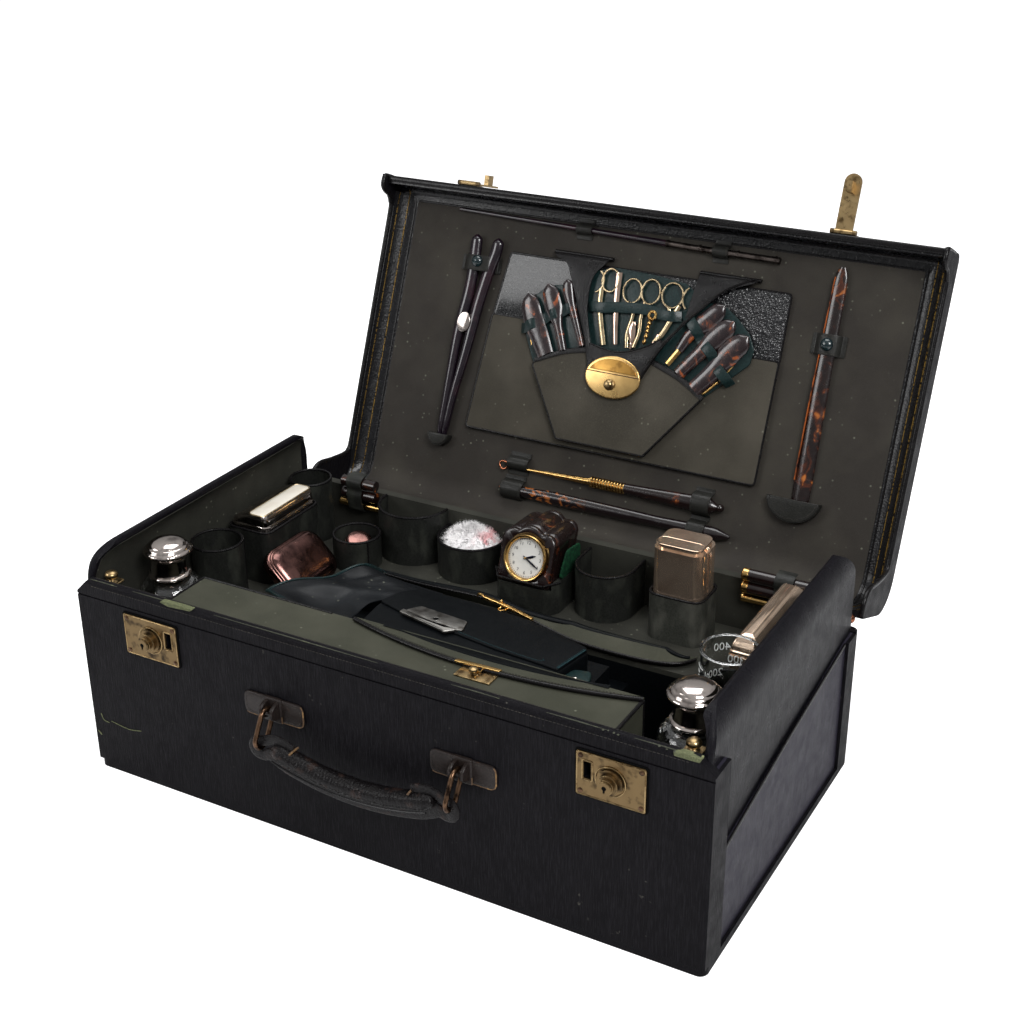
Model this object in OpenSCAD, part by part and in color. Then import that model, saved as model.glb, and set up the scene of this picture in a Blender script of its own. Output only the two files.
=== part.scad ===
/* [Case] */
// Overall width of the case
case_w = 480; // [460:1:500]
// Depth of the base from front face to back face
case_d = 266; // [262:1:276]
// Height of the front wall
front_h = 156; // [150:1:156.5]
// Height of the outer back wall, just under the hinge
back_h = 111; // [100:1:111]
// Height of the inner lip of the back wall
back_lip_h = 136; // [126:1:140]
// Height of the rolled rims of the end walls
rim_h = 177; // [170:1:178]
// Thickness of the bottom board
floor_t = 6; // [4:0.5:8]
// Thickness of the front wall
front_t = 8; // [7:0.5:9]
// Thickness of the outer back wall and of the inner back wall
back_t = 7; // [5:0.5:7]
// Thickness of the end boards
end_t = 6; // [4:0.5:7]
// Height of the top face of the false floor
shelf_z = 95; // [90:1:100]
// Height of the crease below the front wall's rim
crease_drop = 14; // [12:1:20]

/* [Lid] */
// Height of the closed lid's outer face
lid_top = 188; // [186:1:192]
// Thickness of the lid's board
lid_t = 5; // [4:0.5:5.5]
// Depth of the lid's front lip
lip_d = 30.5; // [24:0.5:31]
// Depth of the end flanges over most of their length
flange_d = 17; // [14:0.5:19]
// How much deeper the beaks at the front corners are than the lip
beak_d = 5; // [2:0.5:5]
// Radius of the lid's rounded back corner
lid_back_r = 28; // [20:1:34]
// How far the lid stands open in the photograph
lid_open = 112.4; // [90:0.1:115]
// Radius of the concave leather borders inside the lid
border_r = 18; // [14:1:20]

/* [Hinge] */
// Diameter of the hinge rod
rod_d = 5; // [4:0.5:6]
// Radial clearance of the rod in the lid's knuckles
rod_clear = 0.05; // [0.02:0.01:0.1]
// Outer diameter of the hinge knuckles
knuckle_d = 8; // [7:0.5:8.5]

/* [Locks and handle] */
// Distance of each lock plate's centre from the case's centre
lock_x = 175; // [165:1:190]
// Width of a lock plate
lock_w = 46; // [40:1:50]
// Height of a lock plate
lock_h = 31; // [28:1:34]
// Height of the lock plates' centre above the table
lock_z = 123; // [115:1:125]
// Travel of a lock's sliding knob
knob_travel = 4; // [2:0.5:5]
// Distance of each handle ring from the case's centre
ring_x = 73; // [65:1:80]
// Height of the pins that the handle rings hang on
ring_z = 99; // [90:1:110]
// Diameter of the bronze wire of a handle ring
ring_wire = 3.4; // [3:0.1:4]
// Diameter of the padded grip
grip_d = 16; // [12:0.5:17]

/* [Fittings] */
// Radius of the glass bottles
bottle_r = 22.5; // [20:0.5:23]
// Distance of the bottles' axes from the case's ends
bottle_in = 37; // [36:1:40]
// Radius of the medicine tumbler at its rim
tumbler_r = 19.5; // [18:0.5:20]
// Height of the tumbler
tumbler_h = 67; // [55:1:70]
// Thickness of the leather of the pockets
pocket_t = 1.6; // [1.2:0.1:2]
// Clearance of a fitting in its pocket
fit_gap = 0.7; // [0.5:0.1:1]
// Radius of the clock's dial
dial_r = 16; // [14:0.5:17]
// Lean of the clock's face from the vertical
clock_lean = 20; // [10:1:25]
// Length of the glove stretchers
stretcher_l = 172; // [150:1:176]
// Length of the tortoiseshell shoehorn
horn_l = 184; // [160:1:190]

/* [Hidden] */

// Smoothness of round shapes
$fn = 48;
black = "#17171b";
olive = "#3c3e30";
brass = "#a8843c";
silver = "#c9bdb4";
shell = "#4a2412";
glass = "#cdd6d8";

// Case: half width, front and back faces
hx = case_w / 2;
yf = -case_d / 2;
yb = case_d / 2;
// Leather over the ends of the case stands this much proud of the end boards
panel_t = 2;
wrap_t = 2.5;
wrap_w = 16;
// Outer and inner faces of the end boards
end_x = hx - panel_t - wrap_t;
in_x = end_x - end_t;
in_yf = yf + front_t;
in_yb = yb - 2 * back_t;
// The fittings in the middle keep to the case's width and depth
kx = case_w / 480;
ky = case_d / 266;
// Rolled top of the end boards
roll_r = 23.5;
roll_cx = end_x - roll_r;
roll_a = 48;
rim_r = end_t / 2;
roll_mid = roll_r - end_t / 2;
roll_cz = rim_h - rim_r - roll_mid * sin(roll_a);
shoulder_r = 25;

// Hinge axis, behind the back wall and clear above it
hinge_y = yb + 1.5;
hinge_z = back_h + 5;
lid_edge_gap = 0.5;
// Lid: inner faces
lid_y0 = yf - 2;
lid_y1 = yb + 0.5;
lid_z = lid_top - lid_t;
flange_t = 3.5;
flange_x = hx - flange_t;
lip_z = lid_top - lip_d;
flange_z = lid_top - flange_d;
lid_foot_z = hinge_z + knuckle_d / 2 + lid_edge_gap;

// Well for the soft pouch, and the covered compartment in front of it
well_x0 = -hx + 90;
well_x1 = hx - 75;
well_y0 = in_yf + 45;
well_y1 = in_yb - 79;
well_t = 3;
tray_z = 76;
tray_x1 = 105;
shelf_t = 4;
comp_x0 = -hx + 70;
comp_x1 = hx - 69;
comp_z = 148;
comp_t = 2.5;

// Places of the pockets and the fittings, front to back along each end
bottle_x = hx - bottle_in;
bottle_y = in_yf + 47;
tumbler_x = hx - 38;
tumbler_y = bottle_y + 58;
tumbler_pocket_h = 40;
side_pocket_x = -hx + 33;
side_pocket_h = 47;
rear_pocket = [-hx + 32, in_yb - 18, 17, 50];
jar_box = [-hx + 19, -hx + 54, tumbler_y + 33, rear_pocket[1] - 24, 43];
jar_lid_h = 13;
long_at = [hx - 50, hx - 29, tumbler_y + 28, in_yb - 19];
long_h = 60;
long_lid_h = 14;
// Pockets along the back: middle, front, radius and height
small_pocket = [-148 * kx, in_yb - 43, 19 * kx, 25];
arch_pocket = [-119 * kx, in_yb - 32, 29 * kx, 41];
puff_pocket = [-62 * kx, in_yb - 38, 27 * kx, 29];
round_pocket_at = [57 * kx, in_yb - 42, 23 * kx, 37];
silver_x = 121 * kx;
silver_at = [silver_x - 19, silver_x + 19, in_yb - 41, in_yb - 9];
silver_h = 75;
box_pocket_h = 36;
tubes_left = [-hx + 51, arch_pocket[0] - arch_pocket[2] - 2];
tubes_right = [hx - 82, hx - 28];
brush_at = [-hx + 88, in_yb - 127];
wallet_at = [-52 * kx, 99 * kx, well_y0 + 3, well_y0 + 84];
bed_z = tray_z + 31;
clock_c = [4 * kx, in_yb - 45, 136];
clock_depth = 34;

// Lock: slot for the hasp's staple, beside the sliding knob
slot_x = lock_x - 15.5;
slot_w = 5;
slot_h = 12;
slot_z = lock_z + 3;
staple_w = 4;
staple_h = 8;
plate_t = 1.5;
lock_recess = 6;
knob_stem_r = 2;

// Handle: pins, and rings that lean outward from them
chape_t = 1.2;
ring_r = 6.5;
ring_in = ring_r - ring_wire / 2;
ring_run = 14;
ring_tilt = 30;
pin_r = 1.5;
pin_slack = 0.2;
pin_out = 6.9;
pin_y = yf - chape_t - pin_out;
ring_hang = ring_in - pin_r - pin_slack;
ring_foot = ring_hang + ring_run;
// The grip's ends are eyes on the rings' lower arcs
eye_r = 5.2;
eye_below = 3.5;
eye_clear = 0.35;
grip_y = pin_y - (ring_foot + eye_below) * sin(ring_tilt);
grip_z = ring_z - (ring_foot + eye_below) * cos(ring_tilt);
grip_sag = 11;
grip_half = ring_x - 10.6;
grip_arc_r = (grip_half * grip_half + grip_sag * grip_sag) / (2 * grip_sag);
grip_arc_a = asin(grip_half / grip_arc_r);

// Hasps: pin on the lip, tongue down over the lock plate
hasp_y = lid_y0 - 2;
hasp_z = lip_z + 0.9;
hasp_w = 14;
hasp_t = 1.6;
hasp_pin_r = 0.8;
hasp_knuckle_r = 1.9;
hasp_l = hasp_z - (slot_z - slot_h / 2 - 3);
hasp_left_open = 174;
hasp_right_open = 90;

// Flat outlines and boxes that many pieces share
module rounded_rect(x0, x1, y0, y1, r) {
    translate([x0 + r, y0]) square([x1 - x0 - 2 * r, y1 - y0]);
    translate([x0, y0 + r]) square([x1 - x0, y1 - y0 - 2 * r]);
    for (x = [x0 + r, x1 - r], y = [y0 + r, y1 - r]) translate([x, y]) circle(r);
}

module slab(x0, x1, y0, y1, z0, z1) {
    translate([x0, y0, z0]) cube([x1 - x0, y1 - y0, z1 - z0]);
}

module round_slab(x0, x1, y0, y1, z0, z1, r) {
    translate([0, 0, z0]) linear_extrude(z1 - z0) rounded_rect(x0, x1, y0, y1, r);
}

// Extrudes a (y, z) outline from x0 to x1
module along_x(x0, x1) {
    translate([x0, 0, 0]) rotate([90, 0, 90]) linear_extrude(x1 - x0) children();
}

// Extrudes an (x, z) outline from y0 to y1
module along_y(y0, y1) {
    translate([0, y1, 0]) rotate([90, 0, 0]) linear_extrude(y1 - y0) children();
}

module rod_x(x0, x1, y, z, r) {
    translate([x0, y, z]) rotate([0, 90, 0]) cylinder(r = r, h = x1 - x0);
}

module rod_y(x, y0, y1, z, r) {
    translate([x, y1, z]) rotate([90, 0, 0]) cylinder(r = r, h = y1 - y0);
}

// Points of an arc in a flat outline
function arc(cx, cy, r, a0, a1, n = 10) =
    [for (i = [0:n]) let (a = a0 + (a1 - a0) * i / n) [cx + r * cos(a), cy + r * sin(a)]];

// Swings what is drawn in the closed lid's place to the open lid's place
module on_lid() {
    translate([0, hinge_y, hinge_z]) rotate([-lid_open, 0, 0])
        translate([0, -hinge_y, -hinge_z]) children();
}

module bottom_board() {
    color(black) difference() {
        round_slab(-hx, hx, yf, yb, 0, floor_t, 6);
    }
}

// Front board with its half-round rim, chamfered corners and crease
module front_wall() {
    chamfer = 11;
    color(black) difference() {
        intersection() {
            along_x(-hx, hx) {
                translate([yf, floor_t]) square([front_t, front_h - floor_t - front_t / 2]);
                translate([yf + front_t / 2, front_h - front_t / 2]) circle(front_t / 2);
            }
            along_y(yf - 1, yf + front_t + 1) polygon([[-hx, floor_t], [hx, floor_t],
                [hx, front_h - chamfer], [hx - chamfer, front_h],
                [-hx + chamfer, front_h], [-hx, front_h - chamfer]]);
        }
        slab(-hx - 1, hx + 1, yf - 1, yf + 0.8, front_h - crease_drop, front_h - crease_drop + 1.2);
        for (s = [-1, 1]) {
            slab(s * slot_x - slot_w / 2, s * slot_x + slot_w / 2, yf - 1, yf + lock_recess,
                slot_z - slot_h / 2, slot_z + slot_h / 2);
            knob_slot(s, yf - 1, yf + 4, knob_stem_r + 0.4);
        }
    }
}

// Slot that a knob's stem slides in, away from the hasp's slot
module knob_slot(s, y0, y1, r) {
    slab(min(s * lock_x, s * (lock_x + knob_travel)), max(s * lock_x, s * (lock_x + knob_travel)),
        y0, y1, lock_z - r, lock_z + r);
    for (x = [lock_x, lock_x + knob_travel]) rod_y(s * x, y0, y1, lock_z, r);
}

// Leather of the front and back carried round the four upright corners
module corner_wraps() {
    color("#1c1c21") for (s = [-1, 1]) {
        front_top = front_h - 11;
        slab(min(s * (hx - wrap_t), s * hx), max(s * (hx - wrap_t), s * hx),
            in_yf, in_yf + wrap_w, floor_t, front_top);
        slab(min(s * (hx - wrap_t), s * hx), max(s * (hx - wrap_t), s * hx),
            yb - back_t - wrap_w, yb - back_t, floor_t, back_h - 1);
    }
}

module back_wall() {
    color(black) translate([0, 0, floor_t]) linear_extrude(back_h - floor_t) intersection() {
        rounded_rect(-hx, hx, yf, yb, 6);
        translate([-hx, yb - back_t]) square([case_w, back_t]);
    }
}

module back_inner_wall() {
    color(olive) slab(-in_x, in_x, in_yb, yb - back_t, floor_t, back_lip_h);
}

// Side outline of an end board: rounded shoulder in front, rounded corner at the back
module end_outline() {
    y0 = in_yf;
    y1 = yb - back_t;
    polygon(concat([[y0, floor_t]],
        [[y1, floor_t]],
        arc(y1 - shoulder_r, rim_h - shoulder_r, shoulder_r, 0, 90),
        arc(y0 + shoulder_r, rim_h - shoulder_r, shoulder_r, 90, 180)));
}

// Cross-section of an end board, which rolls inward at the top
module end_section() {
    translate([in_x, floor_t]) square([end_t, roll_cz - floor_t]);
    translate([roll_cx, roll_cz]) intersection() {
        difference() {
            circle(roll_r);
            circle(roll_r - end_t);
        }
        polygon([[0, 0], [2 * roll_r, 0], [2 * roll_r, 2 * roll_r * sin(roll_a)],
            [2 * roll_r * cos(roll_a), 2 * roll_r * sin(roll_a)]]);
    }
    translate([roll_cx + roll_mid * cos(roll_a), roll_cz + roll_mid * sin(roll_a)]) circle(rim_r);
}

module end_wall_right() {
    color(black) intersection() {
        along_y(in_yf, yb - back_t) end_section();
        along_x(in_x - 20, end_x + 1) end_outline();
    }
}

module end_wall_left() {
    mirror([1, 0, 0]) end_wall_right();
}

// Lower leather of the ends, cut off along the slanting welt
module end_lower_panels() {
    welt_front = 77;
    welt_back = back_h - 2;
    y0 = in_yf;
    y1 = yb - back_t;
    color("#1f1f25") for (s = [0, 1]) mirror([s, 0, 0]) along_x(end_x, end_x + panel_t)
        polygon([[y0, floor_t], [y1, floor_t], [y1, back_h - 1], [y1 - wrap_w, welt_back],
            [y0 + wrap_w, welt_front], [y0 + wrap_w, front_h - 11], [y0, front_h - 11]]);
}

module false_floor() {
    color(olive) difference() {
        slab(-in_x, in_x, in_yf, in_yb, shelf_z - shelf_t, shelf_z);
        slab(well_x0, well_x1, well_y0, well_y1, shelf_z - shelf_t - 1, shelf_z + 1);
    }
}

// Lined well: a shallow tray with a padded bed for the wallet, and a deep part at the right
module jewel_well() {
    z1 = shelf_z - shelf_t;
    color(olive) {
        difference() {
            slab(well_x0 - well_t, well_x1 + well_t, well_y0 - well_t, well_y1 + well_t, floor_t, z1);
            slab(well_x0, well_x1, well_y0, well_y1, floor_t + well_t, z1 + 1);
        }
        slab(well_x0 - 1, tray_x1, well_y0 - 1, well_y1 + 1, tray_z - well_t, tray_z);
        slab(tray_x1 - well_t, tray_x1, well_y0 - 1, well_y1 + 1, floor_t + 1, tray_z);
        slab(wallet_at[0] - 4, tray_x1, well_y0 + 1.2, wallet_at[3] + 4, tray_z - 1, bed_z);
    }
}

module front_compartment() {
    color(olive) difference() {
        slab(comp_x0, comp_x1, in_yf, well_y0, shelf_z, comp_z);
        slab(comp_x0 + comp_t, comp_x1 - comp_t, in_yf + comp_t, well_y0 - comp_t, shelf_z - 1,
            comp_z - comp_t);
    }
}

// Round leather pocket that stands on the false floor
module tube_pocket(x, y, r, h) {
    translate([x, y, shelf_z]) difference() {
        cylinder(r = r, h = h);
        translate([0, 0, -1]) cylinder(r = r - pocket_t, h = h + 2);
    }
}

// Round-fronted leather pocket that is sewn to the back wall
module back_pocket(x, y_front, r, h) {
    translate([0, 0, shelf_z]) linear_extrude(h) difference() {
        round_front(x, y_front, r);
        round_front(x, y_front + pocket_t, r - pocket_t, 1);
    }
}

module round_front(x, y_front, r, over = 0) {
    intersection() {
        union() {
            translate([x, y_front + r]) circle(r);
            translate([x - r, y_front + r]) square([2 * r, 2 * r]);
        }
        translate([x - r - 1, 0]) square([2 * r + 2, in_yb + over]);
    }
}

module bottle_pockets() {
    color(black) for (s = [-1, 1]) tube_pocket(s * bottle_x, bottle_y, bottle_r + fit_gap + pocket_t, 22);
}

module side_pockets() {
    color(olive) {
        tube_pocket(side_pocket_x, tumbler_y, tumbler_r, side_pocket_h);
        tube_pocket(tumbler_x, tumbler_y, tumbler_r + fit_gap + pocket_t, tumbler_pocket_h);
    }
}

module jar_pocket() {
    g = fit_gap + pocket_t;
    color(olive) difference() {
        round_slab(jar_box[0] - g, jar_box[1] + g, jar_box[2] - g, jar_box[3] + g,
            shelf_z, shelf_z + jar_box[4], 7);
        round_slab(jar_box[0] - fit_gap, jar_box[1] + fit_gap, jar_box[2] - fit_gap,
            jar_box[3] + fit_gap, shelf_z - 1, shelf_z + jar_box[4] + 1, 6);
    }
}

module left_rear_pockets() {
    color(black) {
        tube_pocket(rear_pocket[0], rear_pocket[1], rear_pocket[2], rear_pocket[3]);
        tube_pocket(small_pocket[0], small_pocket[1], small_pocket[2], small_pocket[3]);
    }
}

module back_pockets() {
    color(olive) {
        back_pocket(arch_pocket[0], arch_pocket[1], arch_pocket[2], arch_pocket[3]);
        back_pocket(puff_pocket[0], puff_pocket[1], puff_pocket[2], puff_pocket[3]);
    }
}

module round_pocket() {
    color(olive) back_pocket(round_pocket_at[0], round_pocket_at[1], round_pocket_at[2],
        round_pocket_at[3]);
}

// Square pocket with round corners for the silver box
module box_pocket() {
    g = fit_gap + pocket_t;
    color(olive) difference() {
        round_slab(silver_at[0] - g, silver_at[1] + g, silver_at[2] - g, silver_at[3] + g,
            shelf_z, shelf_z + box_pocket_h, 9);
        round_slab(silver_at[0] - fit_gap, silver_at[1] + fit_gap, silver_at[2] - fit_gap,
            silver_at[3] + fit_gap, shelf_z - 1, shelf_z + box_pocket_h + 1, 8);
    }
}

module long_case_pocket() {
    g = fit_gap + pocket_t;
    color(olive) difference() {
        round_slab(long_at[0] - g, long_at[1] + g, long_at[2] - g, long_at[3] + g,
            shelf_z, shelf_z + 30, 4);
        round_slab(long_at[0] - fit_gap, long_at[1] + fit_gap, long_at[2] - fit_gap,
            long_at[3] + fit_gap, shelf_z - 1, shelf_z + 31, 3);
    }
}

// Leather stand that holds the travel clock at its lean
module clock_stand() {
    half = dial_r + 10.2;
    lip_y = clock_c[1] - 9;
    color(olive) difference() {
        translate([0, 0, shelf_z]) linear_extrude(26) polygon([
            [clock_c[0] - half + 8, lip_y], [clock_c[0] + half - 8, lip_y],
            [clock_c[0] + half, lip_y + 12], [clock_c[0] + half, in_yb],
            [clock_c[0] - half, in_yb], [clock_c[0] - half, lip_y + 12]]);
        clock_block(0.5, 30);
    }
}

// Frame of the clock: origin at the dial's centre, -Y out of the dial
module on_clock() {
    translate(clock_c) rotate([-clock_lean, 0, 0]) children();
}

// Outline of the clock's case, scalloped on top
module clock_outline(grow) {
    w = dial_r + 6 + grow;
    h = dial_r + 4 + grow;
    translate([-w, -h]) square([2 * w, 2 * h - 4]);
    translate([0, h - 8]) circle(12 + grow);
    for (s = [-1, 1]) translate([s * (w - 8), h - 8]) circle(8);
}

module clock_block(grow, extra = 0) {
    on_clock() translate([0, extra > 0 ? -extra : 0, 0]) rotate([90, 0, 0]) mirror([0, 0, 1])
        linear_extrude(clock_depth + extra + grow) clock_outline(grow);
}

module clock_case() {
    color(shell) difference() {
        clock_block(0);
        on_clock() rod_y(0, -1, 4, 0, dial_r + 1.6 + 0.1);
    }
}

// Gilt bezel with the enamel dial, and the arbor that the hands turn on
module clock_dial() {
    color("#e8e4d8") on_clock() {
        difference() {
            rod_y(0, -3, 4, 0, dial_r + 1.6);
            rod_y(0, -4, 1, 0, dial_r - 1);
        }
        rod_y(0, -2.2, 2, 0, 0.6);
    }
}

module hand(l, w, y, hole) {
    on_clock() translate([0, y, 0]) rotate([90, 0, 0]) linear_extrude(0.4) difference() {
        union() {
            circle(1.5);
            polygon([[-w, 0], [w, 0], [0.3, l], [-0.3, l]]);
        }
        circle(hole);
    }
}

module clock_hour_hand() {
    color("#202028") hand(8.5, 0.8, 0.2, 0.65);
}

module clock_minute_hand() {
    color("#202028") hand(13, 0.6, -0.7, 0.65);
}

module lock_plates() {
    color(brass) for (s = [-1, 1]) difference() {
        along_y(yf - plate_t, yf) translate([s * lock_x, lock_z]) rounded_rect(-lock_w / 2,
            lock_w / 2, -lock_h / 2, lock_h / 2, 1.5);
        slab(s * slot_x - slot_w / 2, s * slot_x + slot_w / 2, yf - 3, yf + 1,
            slot_z - slot_h / 2, slot_z + slot_h / 2);
        knob_slot(s, yf - 3, yf + 1, knob_stem_r + 0.4);
    }
}

// Stepped round knob with a keyhole, on a stem through the plate
module lock_knob(s) {
    y = yf - plate_t - 0.2;
    color(brass) difference() {
        union() {
            rod_y(s * lock_x, y - 2, y, lock_z, 8.5);
            rod_y(s * lock_x, y - 5, y - 2, lock_z, 6.5);
            rod_y(s * lock_x, y - 9, y - 5, lock_z, 4.6);
            rod_y(s * lock_x, y - 1, yf + 3, lock_z, knob_stem_r);
        }
        rod_y(s * lock_x, y - 10, y - 6, lock_z, 1.2);
        slab(s * lock_x - 0.6, s * lock_x + 0.6, y - 10, y - 6, lock_z - 3, lock_z);
    }
}

module lock_knob_left() {
    lock_knob(-1);
}

module lock_knob_right() {
    lock_knob(1);
}

// Leather-covered chapes with ears and a pin for each handle ring
module handle_chapes() {
    ear_x = 3.7;
    ear_t = 2.2;
    color("#241a14") for (s = [-1, 1]) {
        along_y(yf - chape_t, yf) translate([s * ring_x, ring_z - 1]) rounded_rect(-24, 24, -9, 9, 4);
        for (e = [-1, 1]) along_x(s * ring_x + e * ear_x - ear_t / 2, s * ring_x + e * ear_x + ear_t / 2) {
            translate([pin_y, ring_z]) circle(3.2);
            translate([pin_y, ring_z - 3.2]) square([pin_out + 0.5, 6.4]);
        }
        rod_x(s * ring_x - ear_x, s * ring_x + ear_x, pin_y, ring_z, pin_r);
    }
}

// A long bronze ring, drawn hanging straight down from its pin at the origin
module ring_shape() {
    r_tube = ring_wire / 2;
    for (t = [0, 1]) translate([0, 0, t == 0 ? -ring_hang : -ring_foot])
        rotate([0, 0, 90]) rotate([90, 0, 0]) rotate([0, 0, t * 180])
            rotate_extrude(angle = 180) translate([ring_r, 0]) circle(r_tube);
    for (s = [-1, 1]) translate([0, s * ring_r, -ring_foot]) cylinder(r = r_tube, h = ring_run);
}

module on_ring(s) {
    translate([s * ring_x, pin_y, ring_z]) rotate([-ring_tilt, 0, 0]) children();
}

module handle_rings() {
    color("#5c4630") for (s = [-1, 1]) on_ring(s) ring_shape();
}

// Padded grip: a sagging arc of wrapped leather, with an eye at each end round its ring
module handle_grip() {
    r = grip_d / 2;
    color(black) difference() {
        union() {
            translate([0, grip_y, grip_z - grip_sag + grip_arc_r]) rotate([90, 90 + grip_arc_a, 0])
                rotate_extrude(angle = 2 * grip_arc_a) translate([grip_arc_r, 0]) circle(r);
            for (s = [-1, 1]) {
                translate([s * grip_half, grip_y, grip_z]) sphere(r - 0.6);
                translate([s * ring_x, grip_y, grip_z]) sphere(eye_r);
            }
        }
        for (s = [-1, 1]) on_ring(s) translate([0, 0, -ring_foot]) rotate([0, 90, 0])
            rotate_extrude() translate([ring_r, 0]) circle(ring_wire / 2 + eye_clear);
    }
}

// Domed studs inside the front corners, and the stud plate of the pouch
module brass_studs() {
    plate_at = [66 * kx, in_yf + 21];
    stud_x = hx - 20;
    color(brass) {
        for (s = [-1, 1]) {
            slab(s * stud_x - 6, s * stud_x + 6, in_yf, in_yf + 13, 149, 152);
            translate([s * stud_x, in_yf + 7, 151]) cylinder(r = 2.4, h = 4);
            translate([s * stud_x, in_yf + 7, 155]) cylinder(r1 = 4.2, r2 = 2.6, h = 3.4);
        }
        slab(plate_at[0] - 13, plate_at[0] + 13, plate_at[1] - 5, plate_at[1] + 5, comp_z, comp_z + 0.8);
        translate([plate_at[0], plate_at[1], comp_z]) cylinder(r = 1.2, h = 3);
        translate([plate_at[0], plate_at[1], comp_z + 3.6]) sphere(2.2);
    }
}

// Rod along the back with ball ends, and the base's knuckles on their leaves
module hinge_rod() {
    color("#8a5a38") {
        rod_x(-hx + 9, hx - 9, hinge_y, hinge_z, rod_d / 2);
        for (s = [-1, 1]) translate([s * (hx - 8), hinge_y, hinge_z]) sphere(3.6);
    }
    color(brass) for (x = [-200, -67, 67, 200]) difference() {
        union() {
            rod_x(x - 14, x + 14, hinge_y, hinge_z, knuckle_d / 2);
            slab(x - 14, x + 14, yb, yb + 1.2, hinge_z - 30, hinge_z - 2);
        }
        rod_x(x - 15, x + 15, hinge_y, hinge_z, rod_d / 2);
    }
}

// Tortoiseshell tubes and gilt bars on the back wall, left and right
module vanity_tubes() {
    for (s = [tubes_left, tubes_right]) {
        color(shell) {
            rod_x(s[0], s[1], in_yb - 5, 143, 4.6);
            rod_x(s[0], s[1], in_yb - 5, 133, 4.6);
        }
        color(brass) rod_x(s[0], s[1], in_yb - 4, 123.5, 3);
    }
}

// Cloth loops that hold the tubes against the back wall
module tube_straps() {
    color(olive) for (x = [-hx + 68, hx - 50]) difference() {
        slab(x - 7, x + 7, in_yb - 11.3, in_yb, 119, 149.5);
        slab(x - 8, x + 8, in_yb - 10.1, in_yb + 1, 120.2, 148.3);
    }
}

// Glass bottle, hollow, with a narrow neck
module bottle(x) {
    r = bottle_r;
    color(glass, 0.5) translate([x, bottle_y, shelf_z]) rotate_extrude() difference() {
        polygon(concat([[0, 0], [r - 2, 0], [r, 2], [r, 34]], arc(r - 11, 34, 11, 0, 90, 6),
            [[10.4, 46], [10.4, 60], [0, 60]]));
        polygon(concat([[0, 3], [r - 4, 3], [r - 2.5, 5], [r - 2.5, 33]],
            arc(r - 11, 33.5, 8.5, 0, 90, 6), [[7, 44], [7, 61], [0, 61]]));
    }
}

module bottle_left() {
    bottle(-bottle_x);
}

module bottle_right() {
    bottle(bottle_x);
}

// Silver cap: collar over the neck, and a wide domed top with a beaded edge
module cap(x) {
    color(silver) translate([x, bottle_y, shelf_z]) rotate_extrude() polygon(concat(
        [[10.8, 47], [14.8, 47], [14.8, 49.5], [13.2, 50.5], [13.2, 64], [16.8, 65], [17.4, 66.5],
        [16.8, 68]], arc(0, 50, 24.5, 48, 90, 8), [[0, 61], [10.8, 61]]));
}

module cap_left() {
    cap(-bottle_x);
}

module cap_right() {
    cap(bottle_x);
}

module tumbler() {
    color(glass, 0.4) translate([tumbler_x, tumbler_y, shelf_z]) difference() {
        cylinder(r1 = tumbler_r - 2, r2 = tumbler_r, h = tumbler_h);
        translate([0, 0, 4]) cylinder(r1 = tumbler_r - 3.6, r2 = tumbler_r - 1.6, h = tumbler_h);
    }
}

module jar() {
    color(glass, 0.5) difference() {
        round_slab(jar_box[0], jar_box[1], jar_box[2], jar_box[3], shelf_z,
            shelf_z + jar_box[4], 6);
        round_slab(jar_box[0] + 3, jar_box[1] - 3, jar_box[2] + 3, jar_box[3] - 3, shelf_z + 4,
            shelf_z + jar_box[4] + 1, 4);
    }
}

// Silver lid with stepped, rounded top; it turns about its inner long edge
module jar_lid() {
    z = shelf_z + jar_box[4] + 0.3;
    color(silver) {
        round_slab(jar_box[0], jar_box[1], jar_box[2], jar_box[3], z, z + 5, 6);
        round_slab(jar_box[0] + 2, jar_box[1] - 2, jar_box[2] + 2, jar_box[3] - 2, z + 4.9, z + 10, 5);
        round_slab(jar_box[0] + 6, jar_box[1] - 6, jar_box[2] + 6, jar_box[3] - 6, z + 9.9,
            z + jar_lid_h, 4);
    }
}

// Soap case of two deep silver halves that meet at a bead
module silver_half(y0, y1, lip) {
    difference() {
        intersection() {
            union() {
                round_slab(silver_at[0], silver_at[1], silver_at[2], silver_at[3], shelf_z,
                    shelf_z + silver_h - 4, 8);
                round_slab(silver_at[0] + 2, silver_at[1] - 2, silver_at[2] + 2, silver_at[3] - 2,
                    shelf_z + silver_h - 4.1, shelf_z + silver_h, 7);
                slab(silver_at[0] - 0.5, silver_at[1] + 0.5, lip - 1, lip + 1,
                    shelf_z + box_pocket_h + 2, shelf_z + silver_h - 4);
            }
            slab(silver_at[0] - 2, silver_at[1] + 2, y0, y1, shelf_z - 1, shelf_z + silver_h + 1);
        }
        round_slab(silver_at[0] + 1.5, silver_at[1] - 1.5, silver_at[2] + 1.5, silver_at[3] - 1.5,
            shelf_z + 1.5, shelf_z + silver_h - 5.5, 6.5);
    }
}

module silver_box() {
    lip = (silver_at[2] + silver_at[3]) / 2;
    color(silver) silver_half(silver_at[2] - 2, lip, lip);
}

module silver_box_back() {
    lip = (silver_at[2] + silver_at[3]) / 2;
    color(silver) silver_half(lip, silver_at[3] + 2, lip);
}

// Long silver case, open on top under its hinged lid
module long_case() {
    wall = 1.5;
    color(silver) difference() {
        round_slab(long_at[0], long_at[1], long_at[2], long_at[3], shelf_z,
            shelf_z + long_h - long_lid_h, 3);
        round_slab(long_at[0] + wall, long_at[1] - wall, long_at[2] + wall, long_at[3] - wall,
            shelf_z + wall, shelf_z + long_h, 2);
    }
}

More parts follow.
